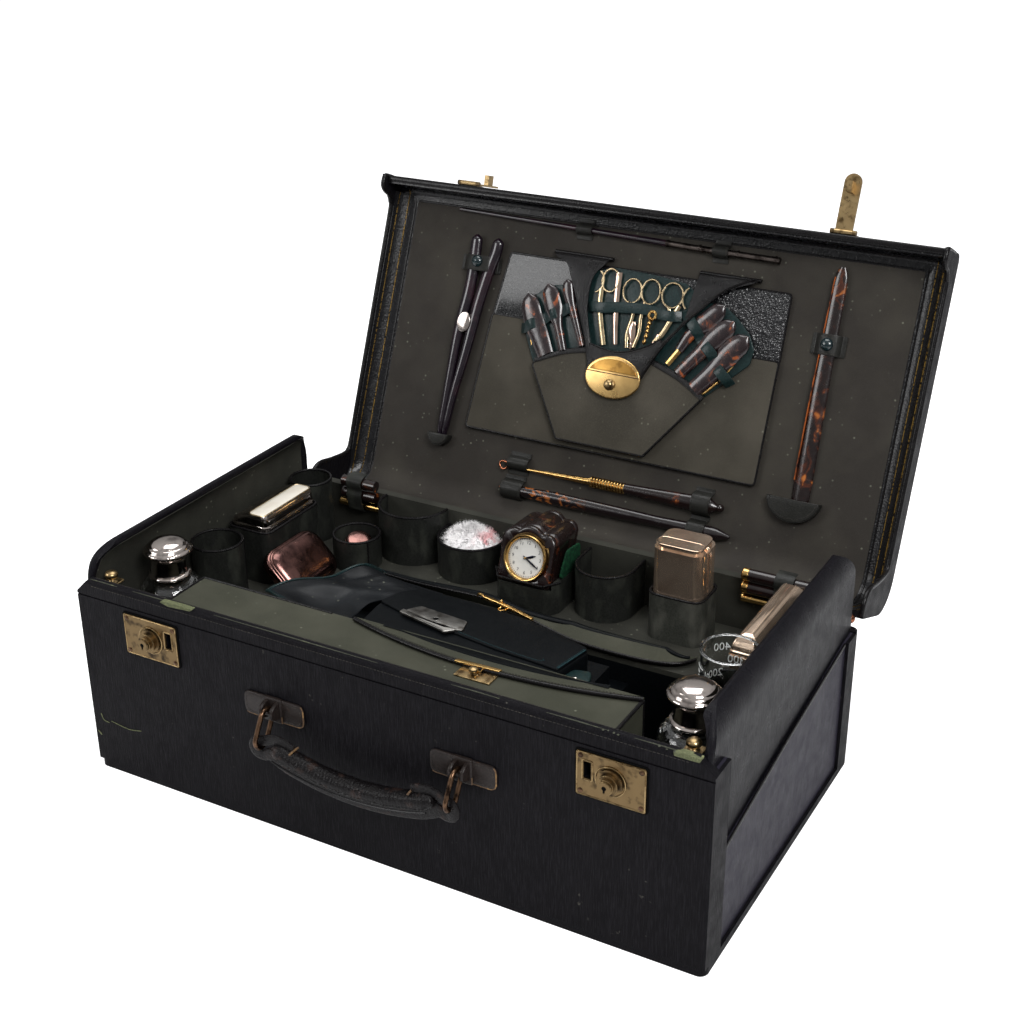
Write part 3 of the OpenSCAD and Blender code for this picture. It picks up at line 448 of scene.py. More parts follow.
def leather(name, slot, base, worn, grain, depth, rough, spec, scuff, turn=0.0):
    """Grained leather with clouds of a lighter tone and scuffs; a higher scuff value leaves fewer of them."""
    k = Look(name, slot, base, 0.45, spec=spec, turn=turn)
    lines = k.noise(grain, 2.0)
    k.tint(k.level(lines, 0.45, 0.7), tuple(c * 1.9 + 0.002 for c in base))
    cloud = k.noise(34, 4.0)
    k.tint(k.level(cloud, 0.5, 0.75, 0.0, 0.5), tuple(c * 1.5 + 0.002 for c in base))
    marks = k.times(k.level(k.noise(4.5, 5.0), scuff, scuff + 0.08), k.level(cloud, 0.5, 0.62))
    k.tint(marks, worn)
    k.grit(0.5, 2.0, depth * 0.35).bump(lines, depth)
    return k.shine(11, 3.0, *rough)


def pebbled(name, slot, base, depth=0.2, rough=(0.15, 0.35), coat=0.4, size=1.5, spec=0.5, turn=0.0,
            light=1.8):
    """Glossy leather with small creases."""
    k = Look(name, slot, base, 0.3, coat=coat, spec=spec, turn=turn)
    pores = k.cells(size)
    k.tint(k.level(pores, 0.25, 0.7), tuple(c * light + 0.001 for c in base))
    k.patches(26, 4.0, 0.52, 0.75, 0.6, tuple(c * 1.6 + 0.002 for c in base))
    k.bump(pores, depth).grit(9, 4.0, depth * 3, 0.5)
    return k.shine(7, 3.0, *rough)


def cloth(name, slot, base, light, turn=0.0, rough=0.7, spec=0.12):
    """Waxed lining cloth with pale dust in its weave."""
    k = Look(name, slot, base, rough, spec=spec, turn=turn)
    k.patches(42, 5.0, 0.42, 0.72, 0.75, light)
    k.patches(0.5, 2.0, 0.5, 0.8, 0.5, tuple(c * 1.5 for c in light))
    dots = k.times(k.level(k.cells(6.5), 0.16, 0.06), k.level(k.noise(17, 2.0), 0.5, 0.62))
    k.tint(k.times(dots, 0.35), srgb(150, 152, 135))
    k.grit(0.45, 1.0, 0.07).grit(15, 3.0, 0.5, 0.35)
    return k.shine(24, 3.0, rough - 0.12, rough + 0.1)


def metal(name, slot, base, dark, rough, patina=(0.5, 0.66), size=6.0, amount=1.0, scratch=0.02):
    """Worn metal: its patina lies in patches of a size, and scratch is the depth of its marks."""
    k = Look(name, slot, base, 0.25, metal=1.0)
    k.tint(k.level(k.noise(size, 5.0), patina[0], patina[1], 0.0, amount), dark)
    k.grit((5.0, 0.25, 0.25), 2.0, scratch).grit(1.8, 3.0, scratch)
    return k.shine(size * 0.6, 4.0, *rough)


def tortoise(name, amber, stretch=(16, 9, 9), turn=0.0):
    """Dark shell with amber where its noise rises over a level."""
    k = Look(name, "tortoiseshell", (0.02, 0.008, 0.004), 0.22, coat=0.5, turn=turn, spec=0.4)
    k.ramp(k.noise(stretch, 3.0, 1.1), [
        (0.0, srgb(14, 8, 10)), (amber - 0.1, srgb(24, 13, 12)), (amber, srgb(70, 32, 16)),
        (amber + 0.07, srgb(162, 92, 38)), (1.0, srgb(200, 134, 66))])
    k.grit(9, 2.0, 0.08)
    return k.shine(5, 3.0, 0.14, 0.3)


def straight(name, grain, scuff, turn=0.0):
    return leather(name, "black_leather", srgb(15, 14, 17), srgb(84, 82, 76), grain, 0.3, (0.36, 0.52), 0.06,
                   scuff, turn)


def fine(name, slot, base, worn, size=0.4, depth=0.05, rough=(0.5, 0.7), scuff=0.5, spec=0.2):
    """Thread and rubbed leather, whose grain runs no way."""
    return leather(name, slot, base, worn, (size,) * 3, depth, rough, spec, scuff)


def scuffed(look, start, amount, colour):
    """Pale scuffs over a look, longer upwards."""
    return look.tint(look.level(look.noise((13, 13, 26), 5.0), start, 0.68, 0.0, amount), colour)


UPRIGHT, ALONG_X = (0.66, 0.66, 9), (0.66, 9, 0.66)
DRY = dict(depth=0.1, coat=0.0)
STRAIGHT = straight("straight_grain", UPRIGHT, 0.7)
STRAIGHT_LID = straight("straight_grain_lid", ALONG_X, 0.69, LID_OPEN)
STRAIGHT_FLAT = straight("straight_grain_flat", ALONG_X, 0.69)
# Lower end panels: a lighter, bluish copy of the straight grain, a painted sheen standing for the light from
# the right
PAINTED_SHEEN_GRAIN = leather("painted_sheen_straight_grain", "black_leather", srgb(38, 36, 46), srgb(100, 96, 104), UPRIGHT, 0.32,
                (0.36, 0.5), 0.14, 0.71)
GLOSSY = leather("glossy_roll", "glossy_leather", srgb(15, 14, 18), srgb(84, 82, 86), UPRIGHT, 0.3,
                 (0.26, 0.4), 0.09, 0.7)
PIPING = pebbled("piping", "glossy_leather", srgb(11, 10, 11), depth=0.08, size=0.8, spec=0.16, coat=0.1)
BORDER = pebbled("border", "glossy_leather", srgb(13, 13, 15), depth=0.22, size=1.5, rough=(0.18, 0.34),
                 turn=LID_OPEN, spec=0.25, coat=0.2)
FLAP = leather("flap_leather", "glossy_leather", srgb(15, 14, 15), srgb(70, 68, 62), (0.7, 6, 0.7), 0.3,
               (0.24, 0.4), 0.3, 0.7, LID_OPEN)
CRINKLE = pebbled("crinkle", "glossy_leather", srgb(12, 13, 15), depth=1.0, size=2.1, rough=(0.1, 0.2),
                  coat=0.8, turn=LID_OPEN, spec=0.4, light=1.5)
OLIVE = cloth("olive_lining", "olive_cloth", srgb(55, 56, 47), srgb(72, 72, 62))
SHADE = cloth("dark_olive_lining", "olive_cloth", srgb(42, 42, 38), srgb(62, 62, 56))
OLIVE_LID = cloth("olive_lid_lining", "olive_cloth", srgb(47, 44, 41), srgb(62, 59, 53), turn=LID_OPEN)
OLIVE_PANEL = cloth("olive_panel", "olive_cloth", srgb(60, 57, 50), srgb(78, 74, 66), turn=LID_OPEN)
POCKET = scuffed(pebbled("pocket_leather", "pocket_leather", srgb(24, 25, 23), rough=(0.34, 0.54), size=1.2,
                         spec=0.24, light=1.5, **DRY), 0.5, 0.55, srgb(58, 60, 54))
SCUFFED = scuffed(pebbled("scuffed_pocket_leather", "pocket_leather", srgb(44, 45, 41), rough=(0.34, 0.54),
                          size=1.2, spec=0.24, light=1.4, **DRY), 0.48, 0.7, srgb(82, 82, 76))
GREEN = pebbled("green_leather", "green_leather", srgb(14, 30, 30), depth=0.1, rough=(0.26, 0.42), coat=0.15,
                size=1.2, turn=LID_OPEN, spec=0.25)
GREEN_STUD = pebbled("green_stud", "green_leather", srgb(9, 26, 29), depth=0.05, rough=(0.12, 0.22), coat=0.6,
                     size=1.2, turn=LID_OPEN)
LOOPS = pebbled("loop_leather", "pocket_leather", srgb(28, 28, 26), rough=(0.3, 0.48), size=1.1, spec=0.25,
                light=1.5, turn=LID_OPEN, **DRY)
BLUEBLACK = pebbled("blue_black_leather", "green_leather", srgb(6, 8, 10), depth=0.07, rough=(0.34, 0.52),
                    coat=0.0, size=0.9, spec=0.08, light=1.5)
GUSSET = cloth("gusset_leather", "green_leather", srgb(12, 14, 17), srgb(28, 31, 34), rough=0.5, spec=0.2)
BROWN = fine("brown_leather", "brown_leather", srgb(30, 24, 22), srgb(104, 74, 50), 1.2, 0.08, (0.3, 0.48),
             0.66, 0.25)
GRIP = pebbled("grip_leather", "glossy_leather", srgb(12, 10, 11), depth=0.3, size=1.1, rough=(0.24, 0.4),
               coat=0.08, spec=0.14, light=1.4)
GRIP.patches(9, 4.0, 0.56, 0.66, 0.7, srgb(46, 34, 30))
THREAD = fine("thread", "black_leather", srgb(40, 38, 36), srgb(74, 70, 64), rough=(0.6, 0.8))
TEAL = fine("teal_thread", "green_leather", srgb(20, 44, 48), srgb(46, 68, 68))
TAN = fine("tan_thread", "brown_leather", srgb(96, 92, 66), srgb(140, 134, 100), rough=(0.6, 0.8))
WORN = fine("worn_edge", "brown_leather", srgb(84, 66, 50), srgb(150, 118, 78), 0.6, 0.06)
# Pale olive for the rubbed rim, and for the painted highlight along the front's crease
RIM_WEAR_AND_HIGHLIGHT = fine("rubbed_rim_and_crease_highlight", "black_leather", srgb(58, 60, 50), srgb(104, 108, 84), 0.8, 0.06, scuff=0.55)
BARE = fine("bare_patch", "black_leather", srgb(84, 88, 64), srgb(150, 152, 112), 0.8, 0.1, (0.6, 0.8),
            spec=0.15)
BRASS = metal("worn_brass", "brass", srgb(122, 102, 72), srgb(50, 41, 31), rough=(0.28, 0.46), size=9)
EDGE = metal("rubbed_brass", "brass", srgb(168, 144, 104), srgb(104, 84, 56), rough=(0.24, 0.4))
GILT = metal("gilt", "brass", srgb(208, 170, 106), srgb(142, 104, 60), rough=(0.16, 0.28), amount=0.6)
SATIN = metal("satin_gilt", "brass", srgb(224, 186, 122), srgb(188, 146, 86), rough=(0.24, 0.34), amount=0.4,
              size=18, scratch=0.006)
PALE_GILT = metal("pale_gilt", "brass", srgb(208, 188, 152), srgb(140, 116, 84), rough=(0.16, 0.28),
                  amount=0.6)
BRUSHED = metal("brushed_gilt", "brass", srgb(186, 142, 74), srgb(132, 96, 50), rough=(0.3, 0.44), size=9)
TOOLING = metal("gold_tooling", "brass", srgb(148, 118, 58), srgb(26, 22, 18), rough=(0.35, 0.6),
                patina=(0.52, 0.58), size=1.6)
BRONZE = metal("bronze", "bronze", srgb(104, 80, 62), srgb(42, 32, 26), rough=(0.24, 0.42))
COPPER = metal("copper", "bronze", srgb(170, 108, 80), srgb(96, 58, 42), rough=(0.2, 0.34))
SILVER = metal("silver", "silver", srgb(206, 196, 190), srgb(92, 82, 80), rough=(0.06, 0.16),
               patina=(0.5, 0.74), size=9, amount=0.8, scratch=0.01)
ROSE = metal("rose_silver", "silver", srgb(222, 194, 176), srgb(146, 112, 98), rough=(0.06, 0.15),
             patina=(0.48, 0.78), size=12, amount=0.7, scratch=0.01)
CHAMPAGNE = metal("champagne_silver", "silver", srgb(232, 206, 182), srgb(182, 150, 128), rough=(0.1, 0.2),
                  patina=(0.46, 0.78), size=14, amount=0.6, scratch=0.008)
CHAMPAGNE.set("Metallic", 0.9)
DULL_ROSE = metal("dull_rose_silver", "silver", srgb(126, 92, 86), srgb(48, 34, 34), rough=(0.12, 0.28),
                  patina=(0.44, 0.68), size=10, amount=0.85, scratch=0.01)
NICKEL = metal("nickel", "silver", srgb(140, 138, 134), srgb(96, 92, 88), rough=(0.3, 0.45), size=8)
GUNMETAL = metal("gunmetal", "bronze", srgb(96, 88, 84), srgb(46, 40, 38), rough=(0.24, 0.4), size=8)
SHELL = tortoise("tortoiseshell", 0.7)
SHELL_LIGHT = tortoise("tortoiseshell_mottled", 0.62, (11, 17, 11), turn=LID_OPEN)
MOTTLED = Look("tortoiseshell_part_mottled", "tortoiseshell", srgb(18, 10, 12), 0.2, coat=0.5, turn=LID_OPEN)
MOTTLED.tint(MOTTLED.times(MOTTLED.level(MOTTLED.noise((9, 6, 6), 3.0, 1.0), 0.53, 0.6),
                           MOTTLED.along(0, -10, -40)), srgb(150, 86, 38))
MOTTLED.grit(8, 2.0, 0.06).shine(5, 3.0, 0.14, 0.28)
HANDLES = Look("tortoiseshell_handles", "tortoiseshell", srgb(40, 26, 26), 0.2, coat=0.6, turn=LID_OPEN)
HANDLES.ramp(HANDLES.noise((9, 12, 9), 3.0, 1.0), [
    (0.0, srgb(20, 12, 15)), (0.5, srgb(34, 23, 25)), (0.6, srgb(62, 42, 38)), (0.68, srgb(140, 70, 34)),
    (1.0, srgb(186, 106, 48))])
HANDLES.grit(8, 2.0, 0.08).shine(5, 3.0, 0.14, 0.28)
PURPLE = Look("dark_horn", "tortoiseshell", srgb(20, 11, 21), 0.2, coat=0.7, turn=LID_OPEN, spec=0.4)
PURPLE.tint(PURPLE.level(PURPLE.noise((18, 30, 18), 3.0, 0.8), 0.5, 0.7), srgb(42, 20, 30))
PURPLE.grit(8, 2.0, 0.06).shine(6, 3.0, 0.12, 0.28)
GLASS = Look("clear_glass", "glass", (0.97, 0.98, 0.98), 0.02)
GLASS.set("Transmission Weight", 1.0)
GLASS.set("IOR", 1.47)
GLASS.grit(16, 2.0, 0.05, 0.4)
ETCH = Look("etched_marks", "glass", srgb(226, 228, 226), 0.6)
ETCH.grit(0.4, 2.0, 0.05)
ENAMEL = Look("enamel", "enamel", srgb(220, 219, 214), 0.2, coat=0.4)
ENAMEL.patches(7, 3.0, 0.5, 0.8, 0.5, srgb(200, 197, 188))
ENAMEL.grit(5, 1.0, 0.02)
INK = Look("black_enamel", "enamel", srgb(22, 22, 26), 0.35)
INK.patches(0.5, 2.0, 0.55, 0.75, 1.0, srgb(40, 40, 44))
BLUED = metal("blued_steel", "blued_steel", srgb(40, 42, 60), srgb(16, 16, 22), rough=(0.2, 0.35))
DOWN = Look("down", "down", srgb(250, 248, 248), 0.9, spec=0.1)
DOWN.set("Sheen Weight", 0.5)
DOWN.tint(DOWN.times(DOWN.level(DOWN.noise(9, 2.0), 0.44, 0.56, 0.0, 0.7), DOWN.along(0, -56, -46)),
          srgb(220, 110, 116))
DOWN.grit(0.8, 2.0, 0.2)
VELVET = Look("green_velvet", "green_leather", srgb(12, 44, 28), 0.9, spec=0.15)
VELVET.patches(3, 4.0, 0.45, 0.7, 1.0, srgb(22, 72, 44))
VELVET.grit(0.5, 3.0, 0.25)
# Near-black for holes and gaps: painted shade where no light reaches into them
PAINTED_SHADE = Look("painted_shade_hollow", "black_leather", srgb(8, 8, 8), 0.8, spec=0.05)
PAINTED_SHADE.grit(1.0, 2.0, 0.1)
# The jar lid's flat top: a pale non-metal standing for the silver's reflection of the light overhead, a
# painted reflection
PAINTED_REFLECTION = Look("painted_white_reflection", "silver", srgb(222, 216, 204), 0.3, coat=0.4)
PAINTED_REFLECTION.patches(14, 3.0, 0.45, 0.75, 0.5, srgb(204, 192, 172))
PAINTED_REFLECTION.grit(6, 2.0, 0.04)
AMBER = Look("clear_amber", "tortoiseshell", srgb(150, 76, 30), 0.2, coat=0.5, turn=LID_OPEN)
AMBER.patches((6, 14, 6), 3.0, 0.45, 0.6, 1.0, srgb(40, 20, 16))
AMBER.grit(5, 2.0, 0.05)
# CAD nodes whose shape is right take a better material
dress(STRAIGHT, "front_wall", "corner_wraps", "back_wall")
# The lower end panels take the painted sheen, lighter than the same leather on the front
dress(PAINTED_SHEEN_GRAIN, "end_lower_panels")
dress(STRAIGHT_FLAT, "bottom_board")
dress(GLOSSY, "end_wall_left", "end_wall_right")
dress(OLIVE, "front_compartment")
dress(SHADE, "back_inner_wall", "false_floor")
dress(BLUEBLACK, "jewel_well")
dress(POCKET, "bottle_pockets", "side_pockets", "jar_pocket", "left_rear_pockets", "back_pockets",
      "round_pocket", "long_case_pocket", "clock_stand")
dress(SCUFFED, "box_pocket")
dress(BRASS, "lock_plates", "lock_knob_left", "lock_knob_right", "lid_brass")
dress(EDGE, "hasp_left", "hasp_right")
dress(BRONZE, "handle_rings")
dress(COPPER, "hinge_rod")
dress(GLASS, "bottle_left", "bottle_right", "tumbler", "jar")
dress(CHAMPAGNE, "silver_box", "silver_box_back", "long_case", "long_case_lid")
dress(BLUED, "clock_hour_hand", "clock_minute_hand")
dress(STRAIGHT_LID, "lid_shell")


def front_details():
    """Stitching along the rim, worn edges, a painted highlight along the crease, bare patches and scratches
    of the front wall.
    """
    top = [(x, YF - 0.15, 151.6) for x in range(-226, 227, 6)]
    rim = [(x, YF + 5.0, 155.7) for x in range(-226, 227, 6)]
    build("front_rim_stitching", join(stitches(top, 2.6, 1.7, 0.26, (0, -1, 0)),
                                      stitches(rim, 2.6, 1.7, 0.26, (0, 0, 1))), THREAD)
    edge = []
    for x0, x1 in ((-228, -204), (-190, -150), (-120, 10), (64, 98), (130, 170), (188, 226)):
        edge.append(tube([(x0, YF + 2.2, 155.5), ((x0 + x1) / 2, YF + 2.2, 155.65), (x1, YF + 2.2, 155.5)],
                         lambda u: 0.2 + 0.2 * sin(pi * u), 6))
    # Short pale lines along the crease under the rim: a painted highlight
    for x0, x1 in ((-226, -190), (-70, -30), (100, 190)):
        edge.append(tube([(x0, YF + 0.9, 143.1), (x1, YF + 0.9, 143.1)], 0.2, 6))
    for x in (168, 171, 175, 178, 204, 209, 214):
        edge.append(ball((x, YF + 1.6 + RNG.uniform(-1, 1), 155.4), RNG.uniform(0.5, 1.1), 6, 0.5))
    build("front_worn_edges_and_crease_highlight", join(*edge), RIM_WEAR_AND_HIGHLIGHT)
    chip = rounded([(-165, 154.6), (-158, 152.9), (-139, 154.2), (-136, 156.2), (-150, 156.4),
                    (-163, 156.0)], 1)
    build("front_bare_patch", along_y(chip, YF + 0.0, YF + 4.0, 0.3), BARE)
    corner = rounded([(214, 152), (222, 149.5), (229, 151), (231, 155.5), (220, 156.3), (213, 155.6)], 1)
    build("corner_bare_patch", along_y(corner, YF + 0.1, YF + 5.0, 0.4), BARE)
    scratches = [tube(bezier(stand([(-233, 46), (-231, 41), (-226, 40)], YF - 0.1), 4), 0.35, 5),
                 tube(bezier(stand([(-224, 42), (-208, 40), (-196, 42)], YF - 0.1), 5), 0.3, 5),
                 tube(stand([(-238, 30), (-235, 27)], YF - 0.1), 0.5, 5)]
    build("front_scratches", join(*scratches), BARE)


def roll_x(z):
    """Where the middle of an end board's rolled top is at a height."""
    if z <= ROLL_CZ:
        return ROLL_CX + ROLL_MID
    q = asin(min((z - ROLL_CZ) / ROLL_MID, 1))
    return ROLL_CX + ROLL_MID * cos(q)


def end_details(s, name):
    """Rolled rim, welt and lining of one end wall."""
    y0, y1, r = IN_YF, YB - 8.3, 25
    path = [(y0, 148), (y0, 150)]
    path += ellipse(y0 + r, RIM_H - 3 - r, -r, r, range(0, 91, 10))
    path += [(y0 + r + (y1 - y0 - 2 * r) * k / 12, RIM_H - 3) for k in range(1, 12)]
    path += ellipse(y1 - r, RIM_H - 3 - r, r, r, range(90, -1, -10))
    path += [(y1, 130), (y1, 112)]
    pts = [(s * roll_x(z), y, z) for y, z in path]
    build(f"end_rim_{name}", tube(pts, (3.02, 3.02), 12, up=(s, 0, 0.2)), GLOSSY)
    x = s * (END_X + 2)
    welt = [(x, y0 + 16, 77), (x, 0, 95.0), (x, y1 - 16, 109)]
    parts = [tube(welt, (1.0, 1.6), 8, up=(0, -0.13, 1)),
             tube([(x, y0 + 16.4, 77), (x, y0 + 16.4, 144)], 1.0, 8, up=(0, 1, 0)),
             stitches([(x, a, b - 2.6) for _, a, b in welt], 3.0, 2.0, 0.3, (s, 0, 0))]
    build(f"end_welt_{name}", join(*parts), PIPING)
    # The cloth lining follows the inside of the rolled top up to its rim
    rings = []
    for k in range(41):
        y = y0 + 1 + (IN_YB - 1 - y0 - 1) * k / 40
        top = RIM_H - 4.6
        if y < y0 + r:
            top = RIM_H - 4.6 - r + r * sqrt(max(0.0, 1 - ((y0 + r - y) / r) ** 2))
        elif y > y1 - r:
            top = RIM_H - 4.6 - r + r * sqrt(max(0.0, 1 - ((y - y1 + r) / r) ** 2))
        ring = []
        for lift, order in ((0.0, range(17)), (0.6, range(16, -1, -1))):
            for j in order:
                z = SHELF + 0.6 + (top - SHELF - 0.6) * j / 16
                inner = 17.4 - lift
                over = max(0.0, z - ROLL_CZ)
                reach = ROLL_CX + (sqrt(max(inner ** 2 - over ** 2, 0.0)) if over else inner)
                ring.append((s * (reach + 0.3), y, z))
        rings.append(ring)
    build(f"end_lining_{name}", loft(rings), SHADE)


def rim_piping(outline, z):
    return tube(lay(outline, z), (1.15, 1.035), 8, loop=True)


def pocket_details():
    """Piping and seams of the leather pockets and of the clock's stand."""
    pipes = []
    for x, y, r, h in ((-203, -78, 24.2, 22), (203, -78, 24.2, 22), (-207, -20, 18.7, 47),
                       (202, -20, 21.0, 40), (-208, 101, 16.2, 50), (-148, 76, 18.2, 25)):
        pipes.append(rim_piping(circle(x, y, r), SHELF + h))
    for x, yf, r, h in ((-119, 87, 29, 41), (-62, 81, 27, 29), (57, 77, 23, 37)):
        rr = r - 0.8
        line = [(x - rr, IN_YB - 0.5)] + [p for p in circle(x, yf + r, rr, 28, 180, 360) if p[1] < IN_YB - 1]
        line += [(x + rr, IN_YB - 0.5)]
        if yf + r > IN_YB:
            line = [p for p in circle(x, yf + r, rr, 40, 180, 360) if p[1] <= IN_YB - 0.3]
        pipes.append(tube(lay(line, SHELF + h), (1.15, 1.05), 8))
    for x0, x1, y0, y1, h, r in ((-221, -186, 13, 77, 43, 7), (102, 140, 78, 110, 36, 9),
                                 (190, 211, 8, 100, 30, 4)):
        pipes.append(rim_piping(rect(x0 - 1.5, x1 + 1.5, y0 - 1.5, y1 + 1.5, r), SHELF + h))
    build("pocket_piping", join(*pipes), PIPING)
    seams = []
    for x, y, r, h, a in ((-207, -20, 19.5, 47, 40), (202, -20, 21.8, 40, 150), (-203, -78, 25, 22, 60),
                          (203, -78, 25, 22, 120), (-148, 76, 19, 25, 330)):
        c, d = cos(radians(a)), sin(radians(a))
        seams.append(tube([(x + r * c, y + r * d, SHELF + 0.5), (x + r * c, y + r * d, SHELF + h - 0.5)],
                          0.6, 6, up=(c, d, 0)))
    build("pocket_seams", join(*seams), PIPING)
    build("clock_stand_rim", join(
        tube(lay([(-15, 64.6), (23, 64.6)], SHELF + 26), 0.9, 8),
        tube(lay([(-15, 64.9), (-23, 77)], SHELF + 26), 0.9, 8),
        tube(lay([(23, 64.9), (31, 77)], SHELF + 26), 0.9, 8)), PIPING)


def compartment_details():
    """Piping of the olive compartment, ball studs and the pouch's stud plate."""
    z = COMP_Z
    pipe = [tube([(-169.4, -124, z), (-169.4, -81, z)], 0.9, 8),
            tube([(170.4, -124, z), (170.4, -81, z)], 1.3, 8),
            tube([(-169, -80.6, z), (-60, -80.6, z)], 0.9, 8),
            tube([(170.6, -124, z), (170.6, -124, SHELF + 2)], 1.1, 8, up=(1, 0, 0)),
            tube([(170.6, -81, z), (170.6, -81, SHELF + 2)], 1.1, 8, up=(1, 0, 0))]
    build("compartment_piping", join(*pipe), PIPING)
    # Ball studs at the front corners and the plate that the pouch's lips hook on
    studs = []
    for x in (-220, 220):
        studs.append(plate(rect(x - 6, x + 6, -125, -112, 2), 149.0, 150.4, 0.4))
        studs.append(moved(lathe([(4.2, 0), (4.2, 0.6), (2.6, 1.2), (2.1, 2.0), (2.6, 2.7), (4.0, 3.6),
                                  (4.75, 5.0), (4.6, 6.5), (3.6, 7.8), (1.9, 8.5), (0, 8.7)], 32),
                           at(x, -118.5, 149.7)))
    body = plate(rect(53, 79, -110.5, -99, 0.6), z, z + 1.1, 0.3)
    knob = lathe([(3.4, 0), (3.4, 0.5), (2.2, 0.9), (1.9, 1.8), (2.6, 2.6), (3.1, 3.4), (2.8, 4.5),
                  (1.6, 5.1), (0, 5.3)], 32)
    build("corner_ball_studs", join(*studs, body, moved(knob, at(64.5, -104.8, z + 1))), EDGE,
          rep=["brass_studs"])
    pins = [ball((x, y, z + 1.1), 0.7, 6, 0.5) for x in (55, 77) for y in (-108.6, -100.8)]
    build("stud_plate_pins", join(*pins), BRASS)


def lock_details():
    """Pins, raised borders, shadow lines, rings and keyholes of the locks."""
    pins, rims, darks = [], [], []
    for s in (-1, 1):
        for dx in (-20, 20):
            for dz in (-12.5, 12.5):
                pins.append(facing([(1.7, -0.2), (1.7, 0.3), (1.2, 0.7), (0.02, 0.85)], 16,
                                   s * LOCK_X + dx, YF - 1.4, LOCK_Z + dz))
        frame_line = rect(s * LOCK_X - 22.4, s * LOCK_X + 22.4, LOCK_Z - 14.9, LOCK_Z + 14.9, 1.5, 3)
        rims.append(tube(stand(frame_line, YF - 1.4), 0.5, 6, loop=True, up=(0, 1, 0)))
        groove = rect(s * LOCK_X - 23.4, s * LOCK_X + 23.4, LOCK_Z - 15.9, LOCK_Z + 15.9, 1.5, 3)
        darks.append(tube(stand(groove, YF - 0.2), 0.8, 6, loop=True, up=(0, 1, 0)))
        slot = rect(s * 159.5 - 3.4, s * 159.5 + 3.4, 119, 133, 1.0, 3)
        rims.append(tube(stand(slot, YF - 1.55), 0.45, 6, loop=True, up=(0, 1, 0)))
    build("lock_pins", join(*pins), BRONZE)
    build("lock_borders", join(*rims), EDGE)
    build("lock_shadow_lines", join(*darks), PAINTED_SHADE)
    for s, name in SIDES:
        y = YF - 1.7
        rings = [facing([(a, 0), (a + 0.35, 0.25), (a, 0.5)], 32, s * LOCK_X, b, LOCK_Z)
                 for a, b in ((8.2, y - 1.4), (6.3, y - 4.4), (4.4, y - 8.2), (4.4, y - 6.4))]
        rings.append(tube(stand(circle(s * LOCK_X, LOCK_Z, 9.9, 40), YF - 1.9), 0.5, 6, loop=True,
                          up=(0, 1, 0)))
        build(f"knob_rings_{name}", join(*rings), EDGE, f"lock_knob_{name}")
        # Each keyhole is a near-black disc and slot: painted shade of the hole
        hole = [facing([(1.5, -0.4), (1.5, 0.08), (0, 0.08)], 20, s * LOCK_X, YF - 10.66, LOCK_Z + 0.6),
                along_y(rect(s * LOCK_X - 0.7, s * LOCK_X + 0.7, LOCK_Z - 2.4, LOCK_Z + 0.4, 0.3, 2),
                        YF - 10.74, YF - 10.2, 0.1)]
        build(f"keyhole_{name}", join(*hole), PAINTED_SHADE, f"lock_knob_{name}")


# Handle: chapes, creased grip and the strap under it that loops round the rings
PIN_Y, RING_Z = -141.1, 99.0
GRIP_Y, GRIP_Z, GRIP_HALF, GRIP_SAG = -151.4, 81.16, 62.4, 11.0
GRIP_R = (GRIP_HALF ** 2 + GRIP_SAG ** 2) / (2 * GRIP_SAG)


def grip_point(x, drop=0.0):
    """A point of the grip's sagging arc, moved away from its centre by drop."""
    cz = GRIP_Z - GRIP_SAG + GRIP_R
    a = asin(x / GRIP_R)
    return Vector((sin(a) * (GRIP_R + drop), GRIP_Y, cz - cos(a) * (GRIP_R + drop)))


